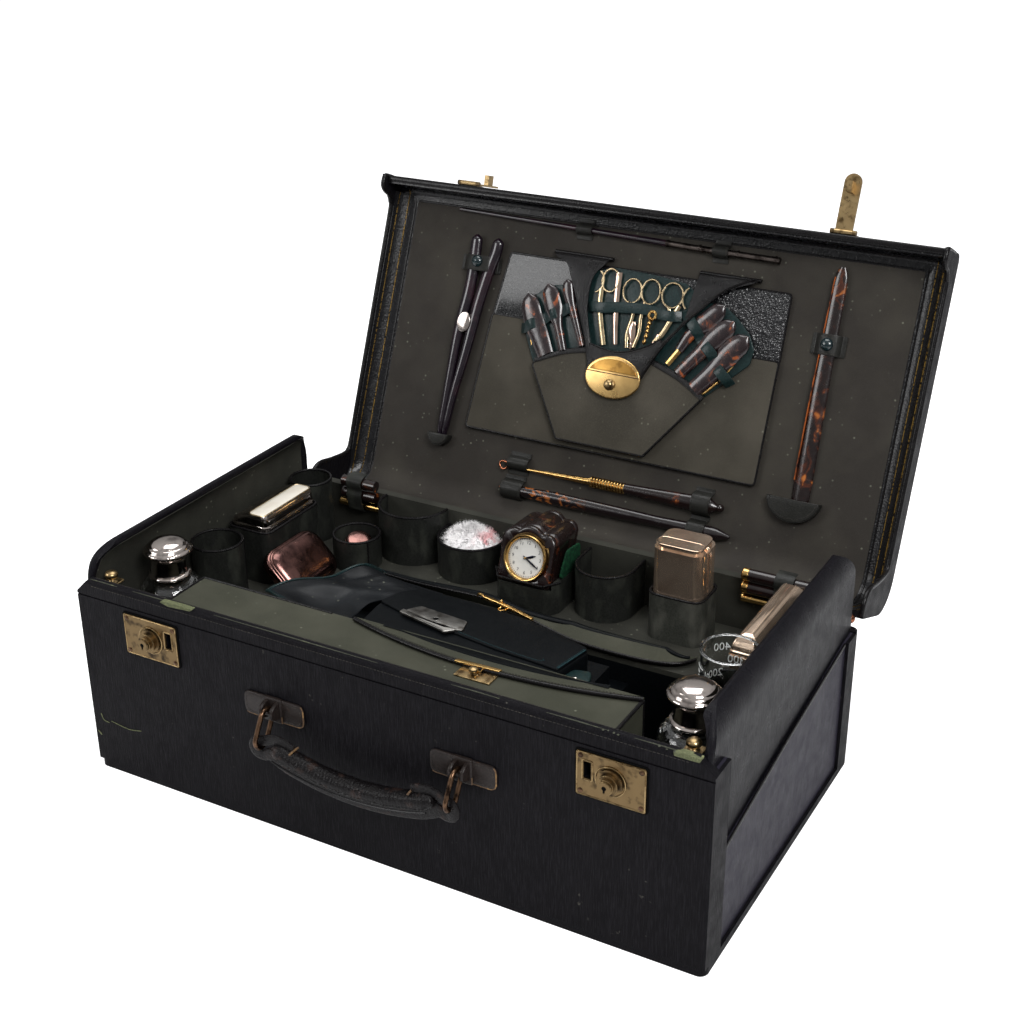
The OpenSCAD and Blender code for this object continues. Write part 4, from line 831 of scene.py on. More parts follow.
def handle_details():
    """Padded grip, the strap round the rings, welts and the two chapes."""
    count = 150
    rings = []
    for i in range(count + 1):
        u = i / count
        x = -GRIP_HALF + 2 * GRIP_HALF * u
        c = grip_point(x, -0.6)
        a = asin(x / GRIP_R)
        end = min(u, 1 - u) * 2 * GRIP_HALF
        r = 6.7 * min(1.0, 0.45 + 0.55 * sqrt(min(end / 7.0, 1)))
        ring = []
        for j in range(28):
            q = 2 * pi * j / 28
            crease = noise.noise(Vector((x * 0.55, cos(q) * 0.9, sin(q) * 0.9))) * 0.34
            crease += noise.noise(Vector((x * 1.7, cos(q) * 1.3, 4 + sin(q) * 1.3))) * 0.2
            rr = r * (1 + 0.028 * sin(x * 2.6 + 2 * sin(q))) + crease * min(end / 5, 1)
            side = rr * cos(q)
            down = rr * sin(q) * 0.92
            n = Vector((sin(a), 0, -cos(a)))
            ring.append(c + Vector((0, side, 0)) + n * down)
        rings.append(ring)
    build("grip_roll", loft(rings), GRIP, "handle_grip", rep=["handle_grip"], sharp=80)
    path = [grip_point(-48, -7.2), grip_point(-56, -7.6), grip_point(-63, -6.6),
            Vector((-70.5, GRIP_Y, 84.2)), Vector((-75.2, GRIP_Y - 0.5, 83.0)),
            Vector((-77.4, GRIP_Y - 1, 79.0)), Vector((-75.6, GRIP_Y - 1, 74.8)),
            Vector((-71, GRIP_Y, 73.0)), grip_point(-62, 6.0)]
    half = bezier(path, 6)
    under = [grip_point(x, 6.2) for x in range(-58, 59, 4)]
    whole = half + under + [Vector((-p.x, p.y, p.z)) for p in reversed(half)]
    k = len(whole) - 1
    # Half widths by the number of points from an end: wide in the ring's loop, narrow beside it, wide below
    widths = [(6, 5.2), (12, 3.9), (len(half) - 4, 3.9), (len(half) + 2, 7.0)]
    strap = tube(whole, lambda u: (interp(widths, min(u, 1 - u) * k), 1.15), 14, up=(0, 1, 0.0001),
                 square=0.6)
    build("grip_strap", strap, GRIP, "handle_grip")
    welts = []
    for s in (-1, 1):
        line = [grip_point(x, 4.6) + Vector((0, s * 6.4, 0)) for x in range(-58, 59, 4)]
        welts.append(tube(line, 0.8, 8, up=(0, 1, 0.01)))
    build("grip_welts", join(*welts), PIPING, "handle_grip")
    cuffs = []
    for s in (-1, 1):
        pts = [grip_point(s * 47.5, -7.6) + Vector((0, b, 0.35 - 0.02 * b * b))
               for b in (-5, -2.5, 0, 2.5, 5)]
        cuffs.append(tube(pts, 0.75, 6))
    build("grip_worn_ends", join(*cuffs), WORN, "handle_grip")
    for s, name in SIDES:
        x = s * CHAPE_X
        out = rounded([(x - 24, 90), (x + 24, 90), (x + 24, 107), (x - 24, 107)], 5)
        tab = along_y(out, YF - 2.0, YF + 0.2, 0.9)
        ridge = along_y(rect(x - 7.5, x + 7.5, 89.2, 107.8, 2), YF - 3.3, YF, 1.1)
        lobes = []
        for e in (-1, 1):
            arch = [(x + e * 4.4, YF - 1.5, 104.5), (x + e * 4.4, PIN_Y + 1, 103.2),
                    (x + e * 4.4, PIN_Y - 1.2, 101.4), (x + e * 4.4, PIN_Y - 1.6, 99),
                    (x + e * 4.4, PIN_Y - 0.6, 96.6), (x + e * 4.4, YF - 1.5, 93.5)]
            lobes.append(tube(bezier(arch, 5), (1.75, 1.5), 10, up=(1, 0, 0.001), square=0.7))
            lobes.append(along_y(rect(x + e * 4.4 - 1.3, x + e * 4.4 + 1.3, 94.5, 103, 1), PIN_Y, YF, 0.4))
        pin = tube([(x - 5.6, PIN_Y, RING_Z), (x + 5.6, PIN_Y, RING_Z)], 1.5, 12)
        rep = ["handle_chapes"] if s < 0 else []
        build(f"handle_chape_{name}", join(tab, ridge, *lobes, pin), BROWN, rep=rep)
        worn = [tube([(p[0], YF - 1.5, p[1]) for p in out[3:16]], 0.5, 6, up=(0, 1, 0)),
                tube([(x - 7.4, YF - 2.9, 90), (x - 7.4, YF - 2.9, 93.4)], 0.4, 6, up=(0, 1, 0)),
                tube([(x + 7.4, YF - 2.9, 90), (x + 7.4, YF - 2.9, 95)], 0.4, 6, up=(0, 1, 0))]
        build(f"chape_worn_edge_{name}", join(*worn), WORN)
        row = [(p[0] + (1.8 if p[0] < x else -1.8), YF - 2.0, p[1] + (1.8 if p[1] < 98 else -1.8))
               for p in out]
        build(f"chape_stitching_{name}", stitches(row + row[:1], 2.2, 1.4, 0.22, (0, -1, 0)), THREAD)


# Silver and glass fittings
def cap_shape():
    def rope(q, r, z):
        return r + (0.32 * sin(44 * q + 3.2 * (z - 66)) if 64.4 < z < 67.6 else 0)

    prof = [(9.5, 46.2), (14.4, 46.6), (15.1, 47.4), (15.2, 48.4), (14.5, 49.3), (13.4, 49.8), (12.9, 51),
            (12.8, 56), (13.1, 60), (13.9, 62.6), (15.4, 63.9), (16.6, 64.6), (17.2, 65.4), (17.45, 66.2),
            (17.2, 67.0), (16.5, 67.7), (15.7, 68.1), (15.3, 68.8), (14.9, 69.6), (13.9, 70.5), (13.3, 70.7),
            (12.9, 71.4), (11.5, 72.6), (9, 73.6), (6, 74.2), (3, 74.45), (0, 74.5)]
    return lathe(prof, 132, ripple=rope)


def fittings():
    """Caps, collars and the tumbler, then the silver fittings."""
    for s, name in SIDES:
        build(f"cap_{name}_chased", cap_shape(), SILVER, f"cap_{name}", at(s * BOTTLE_X, BOTTLE_Y, SHELF),
              rep=[f"cap_{name}"])
        collar = lathe([(10.6, 44.6), (11.6, 44.6), (12.0, 45.2), (11.6, 45.9), (10.6, 45.9)], 48, loop=True)
        build(f"bottle_collar_{name}", collar, ROSE, f"bottle_{name}", at(s * BOTTLE_X, BOTTLE_Y, SHELF))
    # Graduations and plain numbers etched on the tumbler
    marks = []
    for k in range(11):
        z = 12 + k * 4.4
        r = 17.5 + 2 * z / 67 + 0.03
        span = 34 if k % 2 == 0 else 16
        for a0 in (200, 20):
            marks.append(tube(lay(ellipse(0, 0, r, r, range(a0, a0 + span + 1, 4)), z), 0.22, 5))
    for k, word in enumerate(("1", "2", "4", "6", "8", "10")):
        z = 10.5 + k * 8.8
        for a0 in (244, 64):
            marks.append(on_glass(word, 5.2, a0, z))
    for word, a0, z in (("400", 128, 58), ("300", 98, 49), ("200", 142, 40)):
        marks.append(on_glass(word, 8.0, a0, z))
    build("tumbler_marks", join(*marks), ETCH, "tumbler", at(*TUMBLER, SHELF))
    bead = lathe([(17.75, 66.4), (18.7, 66.2), (19.5, 66.6), (19.4, 67.2), (18.6, 67.5), (17.85, 67.2)], 56,
                 loop=True)
    build("tumbler_rim", bead, GLASS, "tumbler", at(*TUMBLER, SHELF))
    jar_lid_detail()
    soap_details()
    long_case_details()


def text_shape(word, size):
    """Flat outlines of plain digits, from the built-in typeface."""
    curve = bpy.data.curves.new("digits", type="FONT")
    curve.body = word
    curve.size = size
    curve.align_x = "CENTER"
    curve.align_y = "CENTER"
    curve.extrude = 0.04
    curve.resolution_u = 3
    obj = bpy.data.objects.new("digits", curve)
    scene.collection.objects.link(obj)
    bpy.context.view_layer.update()
    mesh = bpy.data.meshes.new_from_object(obj.evaluated_get(bpy.context.evaluated_depsgraph_get()))
    shape = [v.co.copy() for v in mesh.vertices], [list(p.vertices) for p in mesh.polygons]
    bpy.data.objects.remove(obj)
    bpy.data.curves.remove(curve)
    bpy.data.meshes.remove(mesh)
    return shape


def on_glass(word, size, a0, z):
    """Digits wrapped round the tumbler at an angle and a height."""
    verts, faces = text_shape(word, size)
    out = []
    for v in verts:
        r = 17.5 + 2 * z / 67 + 0.05 + v.z
        a = radians(a0) + v.x / r
        out.append(Vector((r * cos(a), r * sin(a), z + v.y)))
    return out, faces


def layers(x0, x1, y0, y1, r, levels, n=6):
    """A cushion of rounded rectangles: each level is (inset, height)."""
    rings = []
    for inset, z in levels:
        rr = max(r - inset, 1.0)
        rings.append(lay(rect(x0 + inset, x1 - inset, y0 + inset, y1 - inset, rr, n), z))
    return loft(rings)


def jar_lid_detail():
    z = SHELF + 43.3

    def level(x0, x1, y0, y1, r, h):
        return lay(rect(x0, x1, y0, y1, r, 6), z + h)

    lid = [level(-220.2, -186.8, 13.8, 76.2, 6, 0), level(*JAR, 6, 0.5), level(*JAR, 6, 2.8),
           level(-220, -186.6, 13.6, 76.4, 6, 3.5), level(-220.2, -186.8, 13.4, 76.6, 6, 4.4),
           level(-219, -187, 13.2, 76.8, 6, 6.4), level(-214.6, -187.6, 13.6, 76.6, 5.4, 9.2),
           level(-209, -188.4, 13.6, 76.6, 5, 11.2), level(-205, -189.2, 13.8, 76.4, 4.6, 12.0)]
    build("jar_lid_silver", loft(lid), SILVER, "jar_lid", rep=["jar_lid"])
    line = rect(-204.0, -189.4, 14.2, 76.2, 4.2, 6)
    build("jar_lid_gilt_edge", tube(lay(line, z + 12.1), (0.75, 0.6), 8, loop=True), PALE_GILT, "jar_lid")
    # The flat top is painted pale: a painted reflection of the bright light overhead on the silver
    top = [level(-203.4, -190, 14.8, 75.6, 3.8, 11.8), level(-203.4, -190, 14.8, 75.6, 3.8, 12.4),
           level(-202.6, -190.8, 15.6, 74.8, 3.2, 12.9), level(-200, -193, 19, 71, 2, 13.2)]
    build("jar_lid_panel", loft(top), PAINTED_REFLECTION, "jar_lid")


def soap_details():
    beads = []
    for y in (93.1, 94.9):
        line = rect(101.4, 140.6, SHELF + 38, SHELF + 73.6, 8, 6)
        line = [p for p in line if p[1] > SHELF + 38.5]
        beads.append(stand(line, y))

    def turn(i):
        """How far round the case's middle a point of the bead lies."""
        x, _, z = beads[0][i]
        return atan2(z - (SHELF + 38), x - 121)

    order = sorted(range(len(beads[0])), key=turn)
    for name, bead in zip(("front", "back"), beads):
        build(f"soap_bead_{name}", tube([bead[i] for i in order], 0.85, 10, up=(0, 1, 0)), CHAMPAGNE,
              "soap_case")
    edge = rect(103.5, 138.5, 79.5, 92, 6, 5)
    build("soap_top_line", tube(lay(edge, SHELF + 74.95), 0.3, 6, loop=True), CHAMPAGNE, "soap_case")


def long_case_details():
    z = SHELF + 46.3
    y0, y1 = LONG_Y
    levels = [(0.3, z), (0, z + 0.6), (0, z + 2.4), (0.9, z + 3.0), (0.7, z + 3.8), (1.4, z + 6.5),
              (3.0, z + 9.6), (4.8, z + 11.6), (6.4, z + 12.9), (8.0, z + 13.6)]
    build("long_case_lid_ribbed", layers(190, 211, y0, y1, 3.2, levels), CHAMPAGNE, "long_case_lid",
          rep=["long_case_lid"])
    ribs = [tube([(x, y0 + 6.5, h), (x, y1 - 6.5, h)], 0.35, 6) for x, h in
            ((195.6, z + 12.1), (197.2, z + 13.1), (204.0, z + 13.1), (205.6, z + 12.1))]
    build("long_case_lid_ribs", join(*ribs), CHAMPAGNE, "long_case_lid")
    line = rect(189.8, 211.2, 7.8, 100.2, 3, 4)
    build("long_case_bead", tube(lay(line, z - 0.9), 0.5, 8, loop=True), CHAMPAGNE, "long_case")


def clock_details():
    """Scalloped tortoiseshell case, gilt bezel, white dial and hands."""
    def reach(q):
        c, d = cos(q), sin(q)
        best = 0
        for k in range(200):
            t = 10 + k * 0.1
            x, z = t * c, t * d
            inside = (abs(x) <= 22 and -20 <= z <= 15) or hypot(x, z - 12) <= 12 \
                or hypot(abs(x) - 14, z - 12) <= 8
            if inside:
                best = t
        return best

    n = 144
    angles = [2 * pi * i / n for i in range(n)]
    out = [reach(q) for q in angles]
    out = [(out[i - 2] + out[i - 1] * 2 + out[i] * 3 + out[(i + 1) % n] * 2 + out[(i + 2) % n]) / 9
           for i in range(n)]

    def ring(inset, y):
        rise = 0.31 * max(0.0, y - 2)
        return [((r - inset) * cos(q), y, (r - inset) * sin(q) + rise) for r, q in zip(out, angles)]

    def hoop(r, y):
        return [(r * cos(q), y, r * sin(q)) for q in angles]

    rings = [hoop(17.7, 4), hoop(17.7, 0.4), hoop(18.0, 0.1), ring(2.0, -0.2), ring(0.6, 0.3), ring(0, 1.4),
             ring(0.3, 4), ring(0.9, 5), ring(0.3, 6), ring(0, 8), ring(0, 31), ring(0.9, 33),
             ring(0.1, 34.5), ring(0.8, 37.2), ring(2.5, 38)]
    build("clock_case_scalloped", loft(rings), SHELL, "clock", ON_CLOCK, rep=["clock_case"])
    turn = rot("X", 90)
    face = lathe([(15.3, -3.4), (15.3, -1.0), (10, -0.86), (0, -0.8)], 72)
    build("clock_face", moved(face, turn), ENAMEL, "clock", ON_CLOCK, rep=["clock_dial"])
    bezel = lathe([(15.0, -2.0), (14.9, 0.8), (15.3, 2.2), (16.1, 2.9), (16.9, 2.9), (17.5, 2.2),
                   (17.65, 1.0), (17.65, -3.0), (15.2, -3.0)], 72, loop=True)
    build("clock_bezel", moved(bezel, turn), GILT, "clock", ON_CLOCK)
    arbor = lathe([(0.6, -1.4), (0.6, 1.9), (0.3, 2.2), (0, 2.2)], 16)
    build("clock_arbor", moved(arbor, turn), GILT, "clock", ON_CLOCK)
    for name, length, half, y, angle in (("hour", 8.5, 1.0, 0.1, 70), ("minute", 13, 0.75, -0.7, 120)):
        blade = [(-half * 0.5, -2.4), (half * 0.5, -2.4), (half, length * 0.62), (0, length),
                 (-half, length * 0.62)]
        build(f"{name}_hand_blade", moved(along_y(ccw(blade), y, y + 0.45, 0.12), rot("Y", angle)), BLUED,
              f"clock_{name}_hand", ON_CLOCK, rep=[f"clock_{name}_hand"])
    marks = []
    for h in range(12):
        a = radians(90 - 30 * (h + 1))
        m = at(11.3 * cos(a), 0.78, 11.3 * sin(a)) @ rot("X", 90)
        marks.append(moved(text_shape(str(h + 1), 3.5), m))
    for k in range(60):
        m = at(0, 0.9, 0) @ rot("Y", 6 * k)
        w = 0.16 if k % 5 else 0.28
        marks.append(moved(box(-w, w, -0.06, 0.06, 13.6, 14.7, 0.03), m))
    build("clock_numerals", join(*marks), INK, "clock", ON_CLOCK)
    # Velvet of the recess beside the clock
    for s, name in SIDES:
        side = rounded([(76, SHELF + 26), (110, SHELF + 26), (112, SHELF + 44), (90, SHELF + 46)], 5)
        piece = moved(along_x(side, -0.8, 0.8, 0.5), at(CLOCK[0] + s * 25.4, 0, 0))
        build(f"clock_velvet_{name}", piece, VELVET)


def puff():
    """A round of down whose strands stand out of its pocket."""
    (cx, cy), r = PUFF, 24.2
    rings = []
    for k in range(15):
        q = pi / 2 * k / 14
        ring = []
        for j in range(48):
            a = 2 * pi * j / 48
            x, y = cos(a) * cos(q), sin(a) * cos(q)
            bump = 1 + 0.06 * noise.noise(Vector((x * 3, y * 3, q * 2)))
            y_abs = min(cy + y * r * bump, IN_YB - 0.6)
            ring.append((cx + x * r * bump, y_abs, SHELF + 16 + 20 * sin(q) * bump))
        rings.append(ring)
    base = [[(p[0] * 0.98 + cx * 0.02, p[1], SHELF + 0.6) for p in rings[0]]]
    body = build("puff_body", loft(base + rings), DOWN, "powder_puff", rep=["powder_puff"], sharp=180)
    hairs = []
    for _ in range(5200):
        a, b = RNG.uniform(0, 2 * pi), RNG.uniform(0.05, pi / 2)
        d = Vector((cos(a) * cos(b), sin(a) * cos(b), sin(b)))
        p = Vector((cx, cy, SHELF + 16)) + Vector((d.x * r, d.y * r, d.z * 20)) * 0.94
        if p.y > IN_YB - 2.5 or p.z < SHELF + 24:
            continue
        lean = Vector((RNG.uniform(-1, 1), RNG.uniform(-1, 1), RNG.uniform(-0.6, 1))) * 0.8
        length = RNG.uniform(2.6, 6.4)
        tip = p + (d + lean).normalized() * length
        mid = p + d * length * 0.55
        tip.y = min(tip.y, IN_YB - 0.6)
        w = d.cross(Vector((RNG.uniform(-1, 1), RNG.uniform(-1, 1), 0.3))).normalized() * 0.2
        hairs.append(([p - w, p + w, mid + w * 0.7, tip, mid - w * 0.7], [[0, 1, 2, 3, 4]]))
    build("puff_down", join(*hairs), DOWN, "powder_puff", sharp=180)


def brush():
    """Silver-backed brush, leaning on the pocket's wall."""
    m = at(-152, -8, SHELF + 0.2) @ rot("Y", 45)
    levels = [(1.2, 0.2), (0.2, 1.2), (0, 3), (0, 6.2), (0.4, 7.2), (1.2, 7.9), (1.8, 8.0), (1.4, 8.6),
              (1.8, 9.4), (2.6, 9.8), (3.2, 9.8), (3.0, 10.3), (4.0, 11.4), (6.5, 12.6), (10, 13.5),
              (14.5, 13.95)]
    build("brush_back", layers(-42, 0, 0, 62, 15, levels, 8), DULL_ROSE, "silver_brush", m,
          rep=["silver_brush"])
    # Two round pots stand in the small pocket beside it
    pots = []
    for dx, dy, rr, h, tilt in ((-4, 3, 10.5, 20, 24), (7, -6, 8.0, 15, -18)):
        prof = [(0, 0), (rr - 1, 0), (rr, 1), (rr, h - 5), (rr + 0.6, h - 4.4), (rr + 0.6, h - 3.4),
                (rr, h - 3), (rr - 0.6, h - 0.8), (rr - 2, h - 0.1), (rr - 5, h + 0.3), (0, h + 0.4)]
        spot = at(POTS[0] + dx, POTS[1] + dy, SHELF + 3) @ rot("Y", tilt) @ rot("X", 12)
        pots.append(moved(lathe(prof, 40), spot))
    build("small_pots", join(*pots), DULL_ROSE)


def wallet():
    """The wallet that lies in the pouch, with its flap, clasp, loop and pencil."""
    z = 107
    outline = ccw(rounded([(-50, -77, 5), (88, -77, 2), (98.6, -13.4, 2), (97.0, -9.5, 2), (47, 4.5, 40),
                           (0, 9, 40), (-46, 9, 6), (-57.5, -4, 12), (-63, -22, 20), (-60, -52, 12)], 4))
    body = plate(outline, z + 0.2, z + 20.4, 2.6, 5)
    build("wallet_back", body, BLUEBLACK, "wallet", rep=["wallet"])
    over = ccw(rounded([(-62, -21, 3), (-39.5, -27.6, 6), (8.7, -35.3, 20), (43, -40.6, 20), (80, -43.6, 4),
                        (92.6, -45.4, 2), (98.0, -13.4, 2), (96.4, -10, 2), (47, 4, 40), (0, 8.4, 40),
                        (-45.8, 8.4, 6), (-57, -4, 12)], 4))
    build("wallet_flap", plate(over, z + 19.6, z + 22.2, 0.9, 4), BLUEBLACK, "wallet")
    seam = bezier([(10, -33.4, z + 22.3), (43, -38.8, z + 22.3), (70, -41.2, z + 22.3), (77, -41.0, z + 22.3),
                   (79.5, -39.2, z + 22.3), (77.6, -37.6, z + 22.3)], 8)
    ends = [(91.0, -43.8, z + 22.3), (96.4, -13.8, z + 22.3)]
    rows = [stitches(seam, 1.7, 1.2, 0.24), stitches(ends, 1.7, 1.2, 0.24),
            tube([(p[0] + 1.1, p[1], p[2] - 0.2) for p in ends], 0.5, 6)]
    build("wallet_stitching", join(*rows), TEAL, "wallet")
    upper = rounded([(-36, -23), (-30.4, -15.6), (9.2, -19.4), (12.8, -31.6), (6, -34.4),
                     (-37.4, -26.6)][::-1], 2.4, 4)
    strip = rounded([(-39.6, -30.4), (-39, -25.8), (-0.6, -34.6), (7.6, -32.8), (8.4, -34.6), (2.4, -40.4),
                     (-1.0, -38.8)][::-1], 0.8, 3)
    build("wallet_clasp", join(plate(ccw(upper), z + 21.9, z + 23.3, 0.4),
                               plate(ccw(strip), z + 21.9, z + 24.2, 0.7)), NICKEL, "wallet")
    eye = lay(circle(-11.6, -27.2, 2.3, 24), z + 23.4)
    build("wallet_clasp_eye", tube(eye, 0.4, 8, loop=True), NICKEL, "wallet")
    # A near-black disc under the clasp's eye: painted shade of its hole
    build("wallet_clasp_hole", moved(lathe([(1.9, 0), (1.9, 0.4), (0, 0.4)], 24),
                                     at(-11.6, -27.2, z + 23.1)), PAINTED_SHADE, "wallet")
    # The loop at the wallet's end and the slim pencil in it
    tab = ccw(rounded([(92, -52), (108, -47.5), (113, -38), (109, -27), (97, -30)], 4))
    build("wallet_loop", plate(tab, z + 12, z + 16, 1.4, 4), GREEN, "wallet")
    pencil = tube([(88, -58, z + 18.6), (106, -44.5, z + 18)], lambda u: 2.3 if u < 0.9 else 1.9, 14)
    build("wallet_pencil", pencil, SILVER, "wallet")


def pouch():
    """The pouch's front lip and front wall, then its other parts."""
    z = COMP_Z + 0.3
    n = 36
    front = []
    for i in range(n + 1):
        x = -41 + 212 * i / n
        y = 260 - sqrt(max(358 ** 2 - (x - 65) ** 2, 0))
        front.append((x, min(y, -81.2)))
    edge = [Vector((x, y, z + 1.5)) for x, y in front if y < -81.3]
    lip = [[(x, y, z + 0.2), (x, y, z + 1.9), (x, (y - 80.5) / 2, z + 2.6), (x, -80.5, z + 2.2),
            (x, -80.5, z + 0.2)] for x, y in front]
    build("front_lip", loft(lip), OLIVE, "pouch_front_lip", rep=["pouch_front_lip"])
    build("front_lip_piping", tube(edge, (1.7, 1.5), 10), PIPING, "pouch_front_lip")
    row = beside(edge[2:-2], 0, 2.4, 0.9)
    build("front_lip_stitching", stitches(row, 2.2, 1.4, 0.2), THREAD, "pouch_front_lip")
    bar = ccw(rounded([(47, -99.8), (79, -98.4), (80, -95.0), (48, -96.4)], 0.8, 2))
    bail = [(61, -98.6, z + 2.6), (60.4, -103.0, z + 2.3), (68.6, -103.0, z + 2.3), (68, -98.6, z + 2.6)]
    build("front_lip_bar", join(plate(bar, z + 2.2, z + 3.6, 0.4), tube(bail, 0.75, 8, square=0.7)), GILT,
          "pouch_front_lip")
    fall = [[(x, max(y + 8.5, -89.5), z + 2.2), (x, max(y + 8.5, -89.5) + 1, z + 3.1), (x, -83, z + 3.0),
             (x, -79.4, z + 1.2), (x, -79.4, z - 1.5), (x, -81, z + 0.4)] for x, y in front if y < -88]
    build("front_lip_fall", loft(fall), BLUEBLACK, "pouch_front_lip")
    rear_lip()
    gusset()
    build("pouch_front_wall", box(-40, 164.6, -79.9, -79.0, 12, 147.6, 0.3), BLUEBLACK)


def rear_lip():
    """The pouch's rear lip with its roll and gilt bar."""
    line = [(-138, 59, 101), (-110, 57.6, 102.5), (-80, 55, 103.5), (-45, 51.5, 107), (-18, 49.6, 108.8),
            (8, 46.4, 106.8), (26, 44, 104), (45, 41.2, 101.4), (67, 38.6, 99.6), (100, 37.4, 99.6),
            (125, 40, 99.4), (140, 47, 99), (147.6, 58, 98.4)]
    lip, roll = [], []
    smooth = bezier(line, 6)
    for p in smooth:
        depth = 61 - p.y
        rise = p.z - 98
        mid = p.y + depth * 0.5
        face = max(0.0, min(1.0, (p.x - 15) / 40)) * max(0.0, min(1.0, (148 - p.x) / 20))
        crest = p.z + 1.6 + 5.4 * face
        lip.append([(p.x, p.y, p.z - 1.0), (p.x, p.y - 0.2, p.z + 1.0),
                    (p.x, p.y + depth * 0.2, p.z + 1.6 + 2 * face),
                    (p.x, mid, (99.6 + rise * 0.55) * (1 - face) + crest * face),
                    (p.x, p.y + depth * 0.75, 98.8 + rise * 0.15 + 3 * face), (p.x, 60.8, 97.6),
                    (p.x, 60.8, 95.6), (p.x, mid, 96.6 + rise * 0.5)])
        roll.append(Vector((p.x, p.y + depth * (0.22 + 0.3 * face), p.z + 0.9 + 4.6 * face)))
    build("rear_lip", loft(lip), OLIVE, "pouch_rear_lip", rep=["pouch_rear_lip"])
    build("rear_lip_piping", tube(smooth, (1.3, 1.2), 10), PIPING, "pouch_rear_lip")
    build("rear_lip_roll", tube(roll[3:-3], lambda u: (1.0 + 1.8 * sin(pi * u) ** 0.7, 1.5), 12),
          BLUEBLACK, "pouch_rear_lip")
    row = beside(smooth[2:-2], 0, 1.3, 1.1)
    build("rear_lip_stitching", stitches(row, 2.2, 1.5, 0.24), TAN, "pouch_rear_lip")
    at_edge = bezier([(-17, 48.6, 110.2), (4, 46.0, 108.6), (26, 43.0, 105.4)], 8)
    bar = [tube(at_edge, (1.7, 1.3), 10, square=0.6)]
    curl = [(-17, 48.6, 110.2), (-19.4, 48.6, 111.4), (-22, 49.4, 111.0), (-23.2, 50, 109.0)]
    bar.append(tube(bezier(curl, 5), 1.2, 8))
    loop = [(1 + 3.1 * cos(radians(a)), 43.6 + 2.9 * sin(radians(a)), 107.2 + 0.6 * sin(a))
            for a in range(0, 360, 45)]
    bar.append(tube(loop, 0.8, 8, loop=True))
    bar.append(ball((-2, 47.6, 111.0), 1.3, 6))
    build("rear_lip_bar", join(*bar), GILT, "pouch_rear_lip")


def gusset():
    """The soft leather that closes the pouch's left end and has slumped over the tray beside it."""
    left = bezier([(-100, -80, 147.2), (-122, -66, 141), (-141, -47, 131), (-130, -28, 130), (-115, -8, 130),
                   (-113, 8, 129.5), (-104, 22, 127), (-101, 38, 115), (-112, 57, 101)], 5)
    right = bezier([(-42, -80, 147.2), (-54, -66, 138), (-64, -46, 129), (-68, -28, 126.5), (-65, -8, 126),
                    (-56, 8, 123), (-47, 22, 117), (-46, 38, 109), (-56, 54, 101)], 5)
    across = 26
    verts, faces = [], []
    rows = len(left)
    for i, (a, b) in enumerate(zip(left, right)):
        v = i / (rows - 1)
        for j in range(across + 1):
            u = j / across
            p = a.lerp(b, u)
            calm = sin(pi * min(max(v, 0.001), 0.999)) ** 0.5
            fold = 2.2 * sin(9 * u - 5 * v + 0.6) * (0.3 + 0.7 * (1 - u))
            fold += 3.4 * noise.noise(Vector((u * 2.4, v * 3.6, 0.3)))
            fold += 1.4 * noise.noise(Vector((u * 7, v * 9, 2.3)))
            crease = 2.6 * max(0, 1 - abs(v - 0.36 - 0.22 * u) * 9)
            crease -= 2.2 * max(0, 1 - abs(v - 0.62 + 0.1 * u) * 8)
            p.z += (fold + crease) * calm - 3.0 * sin(pi * u) * calm
            verts.append(p)
    for i in range(rows - 1):
        for j in range(across):
            a = i * (across + 1) + j
            faces.append([a, a + 1, a + across + 2, a + across + 1])
    sheet = build("pouch_gusset", (verts, faces), GUSSET, sharp=180)
    solid = sheet.modifiers.new("thickness", "SOLIDIFY")
    solid.thickness = 1.2 * MM
    sub = sheet.modifiers.new("smooth", "SUBSURF")
    sub.levels = sub.render_levels = 1
    rim = [verts[i * (across + 1)] for i in range(rows)]
    hem = build("gusset_edge", tube(rim, 0.9, 8), GREEN)
    row = build("gusset_stitching", stitches(beside(rim[1:-1], 2.4, 0.6, 0.9), 2.2, 1.5, 0.24), TEAL)


def vanity():
    """Tortoiseshell tubes and gilt bars on the back wall, under cloth loops."""
    shells, gilt, straps = [], [], []
    for x0, x1 in ((-189, -150), (158, 212)):
        for z in (143, 133):
            shells.append(tube([(x0 + 4, 114, z), (x1 - 4, 114, z)], 4.5, 20))
            for a in (x0, x1 - 5) if x0 > 0 else ():
                prof = [(0, 0), (4.1, 0), (4.6, 0.5), (4.75, 1.2), (4.6, 1.9), (4.6, 4.3), (4.7, 5), (4.2, 5)]
                gilt.append(moved(lathe(prof, 28), at(a, 114, z) @ rot("Y", 90)))
        gilt.append(tube([(x0, 115, 123.5), (x1, 115, 123.5)], 2.9, 20))
    for x in (-172, 190):
        line = [(x, IN_YB, 149.3), (x, 113.5, 148.9), (x, 109.4, 146.6), (x, 108.5, 143), (x, 109.6, 138.4),
                (x, 108.5, 134), (x, 109.4, 129), (x, 110.6, 124), (x, 111.4, 121), (x, 114, 119.6),
                (x, IN_YB, 119.2)]
        straps.append(tube(bezier(line, 5), (7, 0.6), 10, up=(0, -1, 0.001), square=0.35))
    build("vanity_shells", join(*shells), SHELL, rep=["vanity_tubes"])
    build("vanity_gilt", join(*gilt), GILT)
    build("vanity_straps", join(*straps), POCKET, rep=["tube_straps"])


